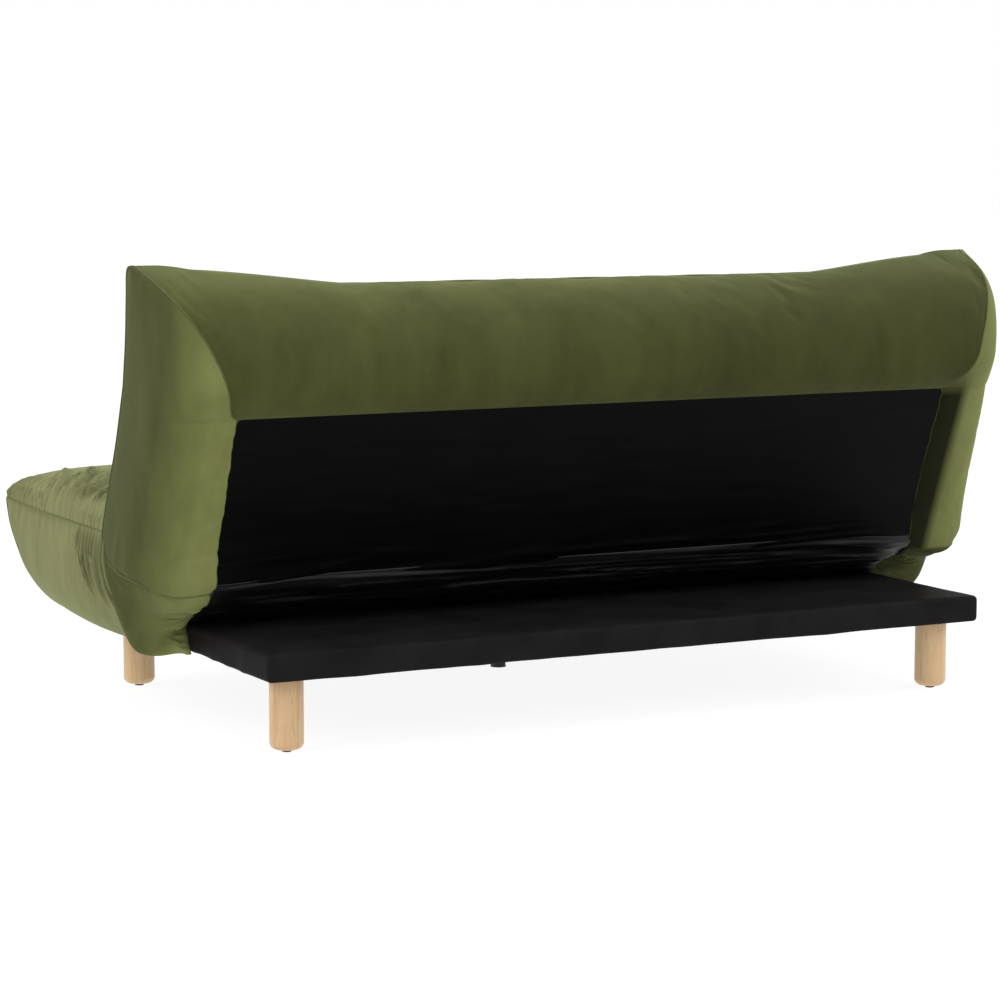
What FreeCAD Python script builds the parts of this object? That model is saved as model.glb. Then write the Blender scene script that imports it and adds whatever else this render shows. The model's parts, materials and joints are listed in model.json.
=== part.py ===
import FreeCAD, Part
import math
import os
import re

import Sketcher

# A sofa bed: a low platform on legs, a seat fixed on it, and a back that is hinged to the seat frame
# and reclines to flat. Origin on the floor under the middle of the whole object. The sitter faces -Y,
# +X is the sitter's left, +Z is up. The left side is +X. Millimetres.

DIMENSIONS = {
    # platform
    "base_width": 1581, "base_depth": 921, "base_rear": 536, "base_low": 147, "base_thick": 47.5,
    "wrap_thick": 1.6, "lining_thick": 1.2, "deck_thick": 5.7, "rail_width": 45, "wrap_corner": 5,
    "block_side": 90, "block_gap": 1.5, "centre_rail_x": 43,
    # legs
    "leg_diameter": 64.5, "leg_edge": 14, "leg_inset_x": 63.5, "leg_inset_y": 71.5,
    "glide_height": 5, "glide_diameter": 19, "glide_edge": 2,
    "bolt_diameter": 8, "bolt_in_leg": 45, "nut_flange": 22, "nut_barrel": 11, "nut_length": 12,
    # centre support
    "support_x": -43, "support_y": -170, "support_diameter": 30, "support_wall": 1.5,
    "support_plate": 70, "plate_thick": 3, "foot_diameter": 34, "foot_height": 12,
    # seat frame
    "tube_side": 25, "tube_wall": 2, "seat_tube_low": 196, "seat_frame_front": -420,
    "seat_frame_rear": 60, "frame_width": 1540, "slat_width": 58, "slat_thick": 10, "slat_count": 12,
    "slat_span": 1400, "holder_thick": 3, "holder_lip": 8,
    "frame_bolt_head": 14, "frame_bolt_height": 5, "bolt_front": -230, "bolt_rear": -38,
    "slat_end_gap": 1,
    # seat cushion
    "seat_width": 1900, "seat_nose": -536, "seam_high": 384, "crown_high": 455, "crown_width": 1560,
    "seat_back_low": 76, "seat_back_high": 30, "seat_heel": 16, "crown_rear": -150,
    "crown_front": -350, "crown_back_run": 40, "nose_run": 56, "nose_drop": 54, "nose_back": 26,
    "seat_foot": 96, "side_rise": 1,
    "skirt_rear": 128, "skirt_wide": 1890, "skirt_low": 152, "skirt_gap": 1,
    "skirt_front_high": 112, "skirt_front_mid": 130, "skirt_front_low": 220, "skirt_front_foot": 320,
    "skirt_mid_rise": 65, "skirt_foot_rise": 24,
    "apron_gap": 1, "apron_top_gap": 0.5, "apron_foot": 8, "apron_belly": 30,
    # pivot and back
    "pivot_y": 178, "pivot_z": 283, "recline": 22, "panel_depth": 80, "panel_thick": 1.4,
    "panel_start": 51, "panel_end": 394, "panel_width": 1590,
    "back_frame_start": 62, "back_frame_end": 372,
    "back_front": 142, "back_ridge": 574, "ridge_front": 118, "back_foam_width": 1590,
    "heel_rear": -60, "heel_tip": -66, "heel_depth": 20, "chin_start": -8, "chin_depth": 108,
    "chest_start": 48, "chest_swell": 6, "shoulder_run": 70, "foam_top_gap": 40,
    "band_gap": 2, "band_rise": 30, "band_over": 8, "band_front": 20, "band_end": 42,
    "wing_start": 797, "wing_end": 945, "wing_top": 598, "wing_reach": 186,
    "wing_foot": -30, "wing_foot_in": 5, "wing_heel": -60, "wing_heel_depth": -38, "wing_tip": -64,
    "wing_face_end": 330, "wing_peak_run": 8, "wing_lip": 23, "wing_shoulder": 69,
    "wing_rear_depth": -35, "wing_bulge_high": 519, "wing_bulge_low": 455, "wing_bulge_small": 10,
    "wing_bulge_large": 30, "cloth_thick": 1.2, "cloth_start": 1, "cloth_hem": 32, "cloth_edge": 20,
    "slot_start": 760, "slot_end": 800, "slot_low": -100, "slot_high": 95, "slot_rear": -100,
    "slot_front": 76, "cloth_fold": 231, "cloth_slack": 1.4,
    # reclining mechanism
    "plate_start": 770, "hinge_thick": 4, "hinge_gap": 1, "ear_radius": 42, "arm_radius": 34,
    "pivot_pin": 12, "pin_clearance": 0.05, "pin_head": 9, "notch_radius": 4.2,
    "pawl_pivot_s": 56, "pawl_pivot_n": -24, "pawl_pin": 8, "pawl_boss": 8, "pawl_tip": 3,
    "pawl_tip_s": 45.7, "pawl_elbow_s": 54, "spring_wire": 1.4,
    "pin_head_thick": 4, "pin_head_gap": 1, "pin_tail": 3,
    "pawl_head_lip": 2, "pawl_head_thick": 2, "pawl_head_gap": 7, "pawl_side_gap": 0.2,
    "pawl_waist": 4, "pawl_hip": 5, "pawl_shoulder": 7,
    "plate_front": -55, "plate_neck": 60, "plate_rise": 64, "plate_start_up": 2, "plate_high": 24,
    "plate_bolt_y": 30, "plate_bolt_up": 12.5,
    "arm_edge": 3, "arm_end": 230, "arm_bend": 95, "arm_high": 26, "arm_bend_high": 30,
    "arm_neck": 4, "arm_neck_depth": 8, "arm_bolt_low": 110, "arm_bolt_high": 190, "arm_bolt_in": 14.5,
    "hinge_bolt": 8, "hinge_bolt_head": 13, "bolt_head_thick": 5, "bolt_tail": 6,
    "spring_clearance": 0.3, "spring_pitch": 1.7, "spring_turns": 3, "spring_inset": 6,
}

# Angles of the back, from the platform, at which the pawls find a notch: flat, two rests between,
# the sofa position and the far end of the closing travel.
LOCKED_ANGLES = (0.0, 22.5, 45.0, 68.0, 78.0)
NOTCH_DIRECTION = -2.0

# A length or a volume too small to count as a difference.
TRIFLE = 1.0

doc = FreeCAD.newDocument("sofa_bed")
sheet = doc.addObject("Spreadsheet::Sheet", "Sheet")
for row, (alias, number) in enumerate(DIMENSIONS.items(), 1):
    sheet.set(f"A{row}", alias)
    sheet.set(f"B{row}", str(number))
    sheet.setAlias(f"B{row}", alias)
doc.recompute()

nodes = []


def size(alias):
    """A driving dimension's number, read from the sheet."""
    return float(sheet.get(alias))


def bound(text):
    """The text as an expression, with each driving dimension's name pointed at the sheet."""
    def point(word):
        return f"Sheet.{word[0]}" if word[0] in DIMENSIONS else word[0]

    return re.sub(r"[a-z_]+", point, text)


def centre(low, high):
    return f"(({low}) + ({high})) / 2"


def span(low, high):
    return f"({high}) - ({low})"


# ---------------------------------------------------------------- sketches and features

NORMAL_SIGN = {"XY_Plane": "", "YZ_Plane": "", "XZ_Plane": "-"}


def new_body(name):
    body = doc.addObject("PartDesign::Body", name)
    body.Label = name
    return body


def new_sketch(body, plane, offset="0"):
    """A sketch on one of the body's own planes, moved along +Z, +X or +Y by the offset."""
    sketch = body.newObject("Sketcher::SketchObject", f"{body.Name}_sketch")
    support = next(f for f in body.Origin.OriginFeatures if f.Role == plane)
    sketch.AttachmentSupport = (support, [""])
    sketch.MapMode = "FlatFace"
    sketch.setExpression("AttachmentOffset.Base.z", bound(f"{NORMAL_SIGN[plane]}({offset})"))
    return sketch


def fix_point(sketch, geometry, point, across, up):
    """Ties a point of the sketch to its two distances from the origin."""
    for kind, axis, text in (("DistanceX", -2, across), ("DistanceY", -1, up)):
        if text == "0":
            sketch.addConstraint(Sketcher.Constraint("PointOnObject", geometry, point, axis))
            continue
        index = sketch.addConstraint(Sketcher.Constraint(kind, -1, 1, geometry, point, 1.0))
        sketch.setExpression(f"Constraints[{index}]", bound(text))


def outline(sketch, corners):
    """A closed outline of straight lines. Each corner is two expressions."""
    first = sketch.GeometryCount
    count = len(corners)
    start = [
        FreeCAD.Vector(math.cos(math.tau * i / count), math.sin(math.tau * i / count), 0)
        for i in range(count)
    ]
    for i in range(count):
        sketch.addGeometry(Part.LineSegment(start[i], start[(i + 1) % count]), False)
    for i in range(count):
        following = first + (i + 1) % count
        sketch.addConstraint(Sketcher.Constraint("Coincident", first + i, 2, following, 1))
    for i, (across, up) in enumerate(corners):
        fix_point(sketch, first + i, 1, across, up)


def circle(sketch, across, up, radius):
    shape = Part.Circle(FreeCAD.Vector(0, 0, 0), FreeCAD.Vector(0, 0, 1), 1.0)
    index = sketch.addGeometry(shape, False)
    fix_point(sketch, index, 3, across, up)
    constraint = sketch.addConstraint(Sketcher.Constraint("Radius", index, 1.0))
    sketch.setExpression(f"Constraints[{constraint}]", bound(radius))


def rectangle(low_across, high_across, low_up, high_up):
    return [
        (low_across, low_up),
        (high_across, low_up),
        (high_across, high_up),
        (low_across, high_up),
    ]


def pad(body, sketch, length):
    """Adds the sketched section, half of the length to each side of the sketch."""
    feature = body.newObject("PartDesign::Pad", f"{body.Name}_pad")
    feature.Profile = sketch
    feature.Midplane = True
    feature.setExpression("Length", bound(length))
    body.Tip = feature
    return feature


def cut(body, sketch, length=None, towards=None):
    """Removes the sketched section: through everything, or a length towards one side."""
    doc.recompute()
    before = body.Shape.Volume
    feature = body.newObject("PartDesign::Pocket", f"{body.Name}_pocket")
    feature.Profile = sketch
    if length is None:
        feature.Type = 1
        feature.Midplane = True
    else:
        feature.setExpression("Length", bound(length))
        feature.Reversed = towards > 0
    body.Tip = feature
    doc.recompute()
    if body.Shape.Volume > before - TRIFLE:
        raise RuntimeError(f"{body.Label}: a pocket removed nothing")
    return feature


def drill(body, plane, centres, radius, offset="0", length=None, towards=None):
    sketch = new_sketch(body, plane, offset)
    for across, up in centres:
        circle(sketch, across, up, radius)
    return cut(body, sketch, length, towards)


def repeat_along_x(body, feature, length, count):
    """Repeats a feature along the normal of its own sketch."""
    pattern = body.newObject("PartDesign::LinearPattern", f"{body.Name}_row")
    pattern.Originals = [feature]
    pattern.Direction = (body.Origin.OriginFeatures[0], [""])
    pattern.setExpression("Length", bound(length))
    pattern.setExpression("Occurrences", bound(count))
    body.Tip = pattern
    return pattern


def prism(name, plane, corners, low, high, holes=(), hollow=()):
    """A straight piece: an outline in a plane, and where it starts and ends along the normal.
    Holes are circles, each two expressions and a radius, and hollow is an inner outline."""
    body = new_body(name)
    sketch = new_sketch(body, plane, centre(low, high))
    outline(sketch, corners)
    if hollow:
        outline(sketch, hollow)
    for across, up, radius in holes:
        circle(sketch, across, up, radius)
    pad(body, sketch, span(low, high))
    nodes.append(body)
    return body


def on_back(body):
    """Stands a piece, drawn about the pivot with the back lying flat, in the sofa position."""
    upright = FreeCAD.Rotation(FreeCAD.Vector(1, 0, 0), 90 - size("recline"))
    body.Placement = FreeCAD.Placement(FreeCAD.Vector(0, 0, 0), upright)
    body.setExpression("Placement.Base.y", bound("pivot_y"))
    body.setExpression("Placement.Base.z", bound("pivot_z"))
    body.setExpression("Placement.Rotation.Angle", bound("90 - recline"))
    return body


def group(name, pieces):
    """One node made of several separate solids."""
    compound = doc.addObject("Part::Compound", name)
    compound.Label = name
    compound.Links = pieces
    nodes.append(compound)
    return compound


def rod(name, axis, across, along, up, radius, length):
    """A plain cylinder whose axis is +Z or +X, starting at the given point."""
    shape = doc.addObject("Part::Cylinder", name)
    turn = FreeCAD.Rotation(FreeCAD.Vector(0, 1, 0), 90 if axis == "X" else 0)
    shape.Placement = FreeCAD.Placement(FreeCAD.Vector(0, 0, 0), turn)
    shape.setExpression("Placement.Base.x", bound(across))
    shape.setExpression("Placement.Base.y", bound(along))
    shape.setExpression("Placement.Base.z", bound(up))
    shape.setExpression("Radius", bound(radius))
    shape.setExpression("Height", bound(length))
    return shape


def fuse(name, first, second):
    joined = doc.addObject("Part::Fuse", name)
    joined.Base = first
    joined.Tool = second
    return joined


SIDES = (("left", "", 1), ("right", "-", -1))
ENDS = (("front", "base_rear - base_depth + leg_inset_y"), ("rear", "base_rear - leg_inset_y"))

HALF_BASE = "base_width / 2"
BASE_FRONT = "base_rear - base_depth"
BASE_TOP = "base_low + base_thick"
INNER_X = "base_width / 2 - wrap_thick"
INNER_REAR = "base_rear - wrap_thick"
INNER_FRONT = "base_rear - base_depth + wrap_thick"
RAIL_LOW = "base_low + lining_thick"
DECK_LOW = "base_low + base_thick - wrap_thick - deck_thick"
DECK_HIGH = "base_low + base_thick - wrap_thick"
LEG_X = "(base_width / 2 - leg_inset_x)"
TUBE_X = "(frame_width - tube_side) / 2"

leg_spots = [(f"{sign}{LEG_X}", f"({y})") for _, sign, _ in SIDES for _, y in ENDS]
frame_bolt_spots = [
    (f"{sign}({TUBE_X})", y) for _, sign, _ in SIDES for y in ("bolt_front", "bolt_rear")
]


# ---------------------------------------------------------------- platform

def build_platform():
    wrap = new_body("base_top_cover")
    outside = new_sketch(wrap, "XY_Plane", centre("base_low", BASE_TOP))
    outline(outside, rectangle(f"-{HALF_BASE}", HALF_BASE, BASE_FRONT, "base_rear"))
    shell = pad(wrap, outside, "base_thick")
    doc.recompute()
    upright = [
        f"Edge{i}"
        for i, edge in enumerate(shell.Shape.Edges, 1)
        if abs(edge.Vertexes[0].Z - edge.Vertexes[-1].Z) > TRIFLE
    ]
    rounded = wrap.newObject("PartDesign::Fillet", "base_top_cover_corners")
    rounded.Base = (shell, upright)
    rounded.setExpression("Radius", bound("wrap_corner"))
    wrap.Tip = rounded
    inside = new_sketch(wrap, "XY_Plane", DECK_HIGH)
    outline(inside, rectangle(f"-({INNER_X})", INNER_X, INNER_FRONT, INNER_REAR))
    cut(wrap, inside, "base_thick", -1)
    drill(wrap, "XY_Plane", frame_bolt_spots, "bolt_diameter / 2", BASE_TOP, "base_thick", -1)
    nodes.append(wrap)

    edges = rectangle(f"-({INNER_X})", INNER_X, INNER_FRONT, INNER_REAR)
    lining = prism("base_bottom_lining", "XY_Plane", edges, "base_low", RAIL_LOW)
    drill(lining, "XY_Plane", leg_spots, "bolt_diameter / 2")
    deck = prism("base_deck_board", "XY_Plane", edges, DECK_LOW, DECK_HIGH)
    drill(deck, "XY_Plane", frame_bolt_spots, "bolt_diameter / 2")

    rail_inner_x = f"{INNER_X} - rail_width"
    inner_front = f"{INNER_FRONT} + rail_width"
    inner_rear = f"{INNER_REAR} - rail_width"
    across = f"-({INNER_X})", INNER_X
    prism("base_front_rail", "XY_Plane", rectangle(*across, INNER_FRONT, inner_front),
          RAIL_LOW, DECK_LOW)
    prism("base_rear_rail", "XY_Plane", rectangle(*across, inner_rear, INNER_REAR),
          RAIL_LOW, DECK_LOW)
    for side, sign, _ in SIDES:
        rail = prism(
            f"base_{side}_rail",
            "XY_Plane",
            rectangle(f"{sign}({rail_inner_x})", f"{sign}({INNER_X})", inner_front, inner_rear),
            RAIL_LOW,
            DECK_LOW,
        )
        spots = [spot for spot in frame_bolt_spots if spot[0].startswith("-") == (sign == "-")]
        drill(rail, "XY_Plane", spots, "bolt_diameter / 2")

    centre_rails = new_body("base_centre_rails")
    plan = new_sketch(centre_rails, "XY_Plane", centre(RAIL_LOW, DECK_LOW))
    for _, sign, _ in SIDES:
        middle = f"{sign}centre_rail_x"
        edges = f"{middle} - rail_width / 2", f"{middle} + rail_width / 2"
        outline(plan, rectangle(*edges, inner_front, inner_rear))
    pad(centre_rails, plan, span(RAIL_LOW, DECK_LOW))
    nodes.append(centre_rails)

    blocks = new_body("corner_blocks")
    plan = new_sketch(blocks, "XY_Plane", centre(RAIL_LOW, f"{DECK_LOW} - block_gap"))
    for _, sign, _ in SIDES:
        outer_x = f"{sign}({rail_inner_x})"
        inner_x = f"{sign}({rail_inner_x} - block_side)"
        outline(plan, rectangle(inner_x, outer_x, inner_front, f"{inner_front} + block_side"))
        outline(plan, rectangle(inner_x, outer_x, f"{inner_rear} - block_side", inner_rear))
    pad(blocks, plan, span(RAIL_LOW, f"{DECK_LOW} - block_gap"))
    drill(blocks, "XY_Plane", leg_spots, "nut_barrel / 2")
    nodes.append(blocks)


def build_legs():
    leg_height = "base_low - glide_height"
    bolts, nuts = [], []
    for end, along in ENDS:
        for side, sign, _ in SIDES:
            across = f"{sign}{LEG_X}"
            leg = new_body(f"leg_{end}_{side}")
            section = new_sketch(leg, "XY_Plane", centre("glide_height", "base_low"))
            circle(section, "0", "0", "leg_diameter / 2")
            turned = pad(leg, section, leg_height)
            doc.recompute()
            lowest = min(
                range(len(turned.Shape.Edges)),
                key=lambda i: turned.Shape.Edges[i].BoundBox.ZMax,
            )
            rounding = leg.newObject("PartDesign::Fillet", f"{leg.Name}_foot")
            rounding.Base = (turned, [f"Edge{lowest + 1}"])
            rounding.setExpression("Radius", bound("leg_edge"))
            leg.Tip = rounding
            drill(leg, "XY_Plane", [("0", "0")], "bolt_diameter / 2", "base_low", "bolt_in_leg", -1)
            leg.setExpression("Placement.Base.x", bound(across))
            leg.setExpression("Placement.Base.y", bound(along))
            nodes.append(leg)

            disc = rod(f"glide_{end}_{side}_disc", "Z", across, along, "0", "glide_diameter / 2",
                       "glide_height")
            glide = doc.addObject("Part::Fillet", f"glide_{end}_{side}")
            glide.Label = f"glide_{end}_{side}"
            glide.Base = disc
            doc.recompute()
            rims = [i for i, edge in enumerate(disc.Shape.Edges, 1) if edge.BoundBox.ZMax < TRIFLE]
            glide.Edges = [(i, size("glide_edge"), size("glide_edge")) for i in rims]
            nodes.append(glide)

            name = f"{end}_{side}"
            bolts.append(rod(f"hanger_bolt_{name}", "Z", across, along, "base_low - bolt_in_leg",
                             "bolt_diameter / 2", f"{span('base_low', DECK_LOW)} + bolt_in_leg"))
            flange = rod(f"nut_flange_{name}", "Z", across, along, f"{DECK_LOW} - block_gap",
                         "nut_flange / 2", "block_gap")
            barrel = rod(f"nut_barrel_{name}", "Z", across, along,
                         f"{DECK_LOW} - block_gap - nut_length", "nut_barrel / 2", "nut_length")
            nut = doc.addObject("Part::Cut", f"nut_{name}")
            nut.Base = fuse(f"nut_blank_{name}", flange, barrel)
            nut.Tool = rod(f"nut_bore_{name}", "Z", across, along, "base_low", "bolt_diameter / 2",
                           "base_thick")
            nuts.append(nut)
    group("leg_bolts", bolts)
    group("leg_nuts", nuts)


def build_centre_support():
    plate_low = "base_low - plate_thick"
    prism(
        "centre_leg_plate",
        "XY_Plane",
        rectangle(
            "support_x - support_plate / 2",
            "support_x + support_plate / 2",
            "support_y - support_plate / 2",
            "support_y + support_plate / 2",
        ),
        plate_low,
        "base_low",
    )
    post = new_body("centre_leg")
    ring = new_sketch(post, "XY_Plane", centre("foot_height", plate_low))
    circle(ring, "support_x", "support_y", "support_diameter / 2")
    circle(ring, "support_x", "support_y", "support_diameter / 2 - support_wall")
    pad(post, ring, span("foot_height", plate_low))
    nodes.append(post)
    cap = doc.addObject("Part::Cone", "centre_leg_foot")
    cap.Label = "centre_leg_foot"
    cap.setExpression("Radius1", bound("foot_diameter / 2"))
    cap.setExpression("Radius2", bound("support_diameter / 2"))
    cap.setExpression("Height", bound("foot_height"))
    cap.setExpression("Placement.Base.x", bound("support_x"))
    cap.setExpression("Placement.Base.y", bound("support_y"))
    nodes.append(cap)


# ---------------------------------------------------------------- steel frames with slats

def tube_along_x(name, start, low, half_length):
    """A square tube across the object. Start and low are its corner in the side view."""
    end, high = f"{start} + tube_side", f"{low} + tube_side"
    return prism(
        name,
        "YZ_Plane",
        rectangle(start, end, low, high),
        f"-({half_length})",
        half_length,
        hollow=rectangle(
            f"{start} + tube_wall", f"{end} - tube_wall", f"{low} + tube_wall", f"{high} - tube_wall"
        ),
    )


def tube_along_y(name, middle_x, low, start, end):
    """A square tube from front to rear, or up the back."""
    left, right = f"{middle_x} - tube_side / 2", f"{middle_x} + tube_side / 2"
    high = f"{low} + tube_side"
    return prism(
        name,
        "XZ_Plane",
        rectangle(left, right, low, high),
        start,
        end,
        hollow=rectangle(
            f"{left} + tube_wall", f"{right} - tube_wall", f"{low} + tube_wall", f"{high} - tube_wall"
        ),
    )


def slat_row(name, start, end, low):
    """Slats side by side along X, all alike."""
    body = new_body(name)
    sketch = new_sketch(body, "YZ_Plane", "-slat_span / 2")
    outline(sketch, rectangle(start, end, low, f"{low} + slat_thick"))
    slat = pad(body, sketch, "slat_width")
    repeat_along_x(body, slat, "slat_span", "slat_count")
    nodes.append(body)
    return body


def holder_row(name, starts, low):
    """Plastic channels that hold the slats' ends on the tubes."""
    bodies = []
    for index, start in enumerate(starts):
        body = new_body(f"{name}_{index}")
        left, right = "-slat_span / 2 - slat_width / 2", "-slat_span / 2 + slat_width / 2"
        floor, lip = f"{low} + holder_thick", f"{low} + holder_thick + holder_lip"
        sketch = new_sketch(body, "XZ_Plane", f"{start} + tube_side / 2")
        outline(
            sketch,
            [
                (f"{left} - holder_thick", low),
                (f"{right} + holder_thick", low),
                (f"{right} + holder_thick", lip),
                (right, lip),
                (right, floor),
                (left, floor),
                (left, lip),
                (f"{left} - holder_thick", lip),
            ],
        )
        channel = pad(body, sketch, "tube_side")
        repeat_along_x(body, channel, "slat_span", "slat_count")
        bodies.append(body)
    return bodies


def build_frame(name, start, end, low):
    """Four tubes round the edge, one in the middle, slats over them and the slats' holders."""
    inner_start, inner_end = f"{start} + tube_side", f"{end} - tube_side"
    half = "frame_width / 2"
    first, last = ("front", "rear") if name == "seat" else ("bottom", "top")
    pieces = [
        tube_along_x(f"{name}_{first}_tube", start, low, half),
        tube_along_x(f"{name}_{last}_tube", inner_end, low, half),
        tube_along_y(f"{name}_centre_tube", "0", low, inner_start, inner_end),
    ]
    sides = [
        tube_along_y(f"{name}_{side}_tube", f"{sign}({TUBE_X})", low, inner_start, inner_end)
        for side, sign, _ in SIDES
    ]
    top = f"{low} + tube_side"
    slats = slat_row(f"{name}_slats", f"{start} + slat_end_gap", f"{end} - slat_end_gap",
                     f"{top} + holder_thick")
    holders = holder_row(f"{name}_slat_holder", (start, inner_end), top)
    return pieces, sides, slats, holders


# ---------------------------------------------------------------- reclining mechanism

PLATE_BOLTS = (
    ("-plate_bolt_y", "seat_tube_low + plate_bolt_up"),
    ("plate_bolt_y", "seat_tube_low + plate_bolt_up"),
)
ARM_BOLTS = (
    ("arm_bolt_low", "-panel_depth + arm_bolt_in"),
    ("arm_bolt_high", "-panel_depth + arm_bolt_in"),
)

# Places on a round part's edge, as shares of its radius, where a straight edge meets it.
EAR_FRONT, EAR_LOW, EAR_REAR, EAR_HIGH = 0.6, 0.8, 0.9, 0.3
HUB_ACROSS, HUB_UP = 0.5, 0.8


def build_hinges():
    plate_end = "plate_start + hinge_thick"
    arm_start = "plate_start + hinge_thick + hinge_gap"
    arm_end = "plate_start + 2 * hinge_thick + hinge_gap"
    springs = []
    for side, sign, way in SIDES:
        plate = prism(
            f"{side}_hinge_plate",
            "YZ_Plane",
            [
                ("plate_front", "seat_tube_low + plate_start_up"),
                ("pivot_y - plate_neck", "seat_tube_low + plate_start_up"),
                (f"pivot_y + ear_radius * {EAR_FRONT}", f"pivot_z - ear_radius * {EAR_LOW}"),
                (f"pivot_y - ear_radius * {EAR_REAR}", f"pivot_z + ear_radius * {EAR_HIGH}"),
                ("plate_rise", "seat_tube_low + plate_high"),
                ("plate_front", "seat_tube_low + plate_high"),
            ],
            f"{sign}plate_start",
            f"{sign}({plate_end})",
        )
        ear = new_sketch(plate, "YZ_Plane", f"{sign}(plate_start + hinge_thick / 2)")
        circle(ear, "pivot_y", "pivot_z", "ear_radius")
        pad(plate, ear, "hinge_thick")
        notches = []
        for angle in LOCKED_ANGLES:
            turn = math.radians(angle + NOTCH_DIRECTION)
            notches.append((
                f"pivot_y + ear_radius * {math.cos(turn):.5f}",
                f"pivot_z + ear_radius * {math.sin(turn):.5f}",
            ))
        for spot in notches:
            drill(plate, "YZ_Plane", [spot], "notch_radius")
        drill(plate, "YZ_Plane", [("pivot_y", "pivot_z")], "pivot_pin / 2 + pin_clearance")
        drill(plate, "YZ_Plane", PLATE_BOLTS, "hinge_bolt / 2 + pin_clearance")

        arm = prism(
            f"{side}_hinge_arm",
            "YZ_Plane",
            [
                (f"-arm_radius * {HUB_ACROSS}", f"-arm_radius * {HUB_UP}"),
                ("back_frame_start", "-panel_depth + arm_edge"),
                ("arm_end", "-panel_depth + arm_edge"),
                ("arm_end", "-panel_depth + arm_high"),
                ("arm_bend", "-panel_depth + arm_bend_high"),
                ("back_frame_start + arm_neck", "-arm_neck_depth"),
                (f"arm_radius * {HUB_ACROSS}", f"arm_radius * {HUB_UP}"),
            ],
            f"{sign}({arm_start})",
            f"{sign}({arm_end})",
        )
        hub = new_sketch(arm, "YZ_Plane", f"{sign}({arm_start} + hinge_thick / 2)")
        circle(hub, "0", "0", "arm_radius")
        pad(arm, hub, "hinge_thick")
        drill(arm, "YZ_Plane", [("0", "0")], "pivot_pin / 2 + pin_clearance")
        drill(arm, "YZ_Plane", [("pawl_pivot_s", "pawl_pivot_n")], "pawl_pin / 2 + pin_clearance")
        drill(arm, "YZ_Plane", ARM_BOLTS, "hinge_bolt / 2 + pin_clearance")
        on_back(arm)

        headed_pin(f"{side}_pivot_pin", side, "0", "0", "pivot_pin / 2", "pin_head",
                   "plate_start - pin_head_gap - pin_head_thick", "plate_start - pin_head_gap",
                   f"{arm_end} + pin_tail")
        headed_pin(f"{side}_pawl_pin", side, "pawl_pivot_s", "pawl_pivot_n", "pawl_pin / 2",
                   "pawl_pin / 2 + pawl_head_lip", "plate_start - pawl_head_gap - pawl_head_thick",
                   "plate_start - pawl_head_gap", arm_end)

        pawl = prism(
            f"{side}_pawl",
            "YZ_Plane",
            [
                ("pawl_tip_s", "-pawl_tip"),
                ("pawl_elbow_s - pawl_waist", "-pawl_tip"),
                ("pawl_pivot_s - pawl_shoulder", "pawl_pivot_n"),
                ("pawl_pivot_s + pawl_shoulder", "pawl_pivot_n"),
                ("pawl_elbow_s + pawl_hip", "pawl_tip"),
                ("pawl_tip_s", "pawl_tip"),
            ],
            f"{sign}(plate_start + pawl_side_gap)",
            f"{sign}({plate_end} - pawl_side_gap)",
        )
        for across, up, radius in (
            ("pawl_tip_s", "0", "pawl_tip"),
            ("pawl_pivot_s", "pawl_pivot_n", "pawl_boss"),
        ):
            rounding = new_sketch(pawl, "YZ_Plane", f"{sign}(plate_start + hinge_thick / 2)")
            circle(rounding, across, up, radius)
            pad(pawl, rounding, "hinge_thick - 2 * pawl_side_gap")
        drill(pawl, "YZ_Plane", [("pawl_pivot_s", "pawl_pivot_n")], "pawl_pin / 2 + pin_clearance")
        on_back(pawl)
        springs.append(coil_spring(f"{side}_pawl_spring", way))
    group("pawl_springs", springs)


def headed_pin(name, side, across, up, radius, head_radius, head_start, shank_start, end):
    """A pin along X with a flat head on its inner end."""
    sign = "" if side == "left" else "-"
    body = new_body(name)
    for low, high, wide in ((head_start, shank_start, head_radius), (shank_start, end, radius)):
        section = new_sketch(body, "YZ_Plane", f"{sign}({centre(low, high)})")
        circle(section, across, up, wide)
        pad(body, section, span(low, high))
    nodes.append(body)
    return on_back(body)


def coil_spring(name, way):
    """Turns of wire round the pawl pin, between its head and the pawl."""
    wire_radius = size("spring_wire") / 2
    coil_radius = size("pawl_pin") / 2 + wire_radius + size("spring_clearance")
    pitch = size("spring_pitch")
    helix = Part.makeHelix(pitch, pitch * size("spring_turns"), coil_radius)
    start = FreeCAD.Vector(coil_radius, 0, 0)
    section = Part.Wire([Part.makeCircle(wire_radius, start, FreeCAD.Vector(0, 1, 0))])
    coil = Part.Wire(helix).makePipeShell([section], True, True)
    spring = doc.addObject("Part::Feature", name)
    spring.Shape = coil
    across = size("plate_start") - size("spring_inset")
    local = FreeCAD.Vector(0, size("pawl_pivot_s"), size("pawl_pivot_n"))
    lean = FreeCAD.Rotation(FreeCAD.Vector(1, 0, 0), 90 - size("recline"))
    place = lean.multVec(local) + FreeCAD.Vector(0, size("pivot_y"), size("pivot_z"))
    place.x = way * across
    spring.Placement = FreeCAD.Placement(
        place, FreeCAD.Rotation(FreeCAD.Vector(0, 1, 0), 90 * way)
    )
    return spring


def bolt_group(name, spots, head_start, back):
    """Bolts along X: the head outside the plate, the shank through the tube's outer wall."""
    solids = []
    for side, sign, _ in SIDES:
        for index, (across, up) in enumerate(spots):
            body = new_body(f"{name}_{side}_{index}")
            tip = "plate_start - bolt_tail"
            for low, high, radius in (
                (tip, head_start, "hinge_bolt / 2"),
                (head_start, f"{head_start} + bolt_head_thick", "hinge_bolt_head / 2"),
            ):
                section = new_sketch(body, "YZ_Plane", f"{sign}({centre(low, high)})")
                circle(section, across, up, radius)
                pad(body, section, span(low, high))
            if back:
                on_back(body)
            solids.append(body)
    return group(name, solids)


# ---------------------------------------------------------------- upholstery

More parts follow.
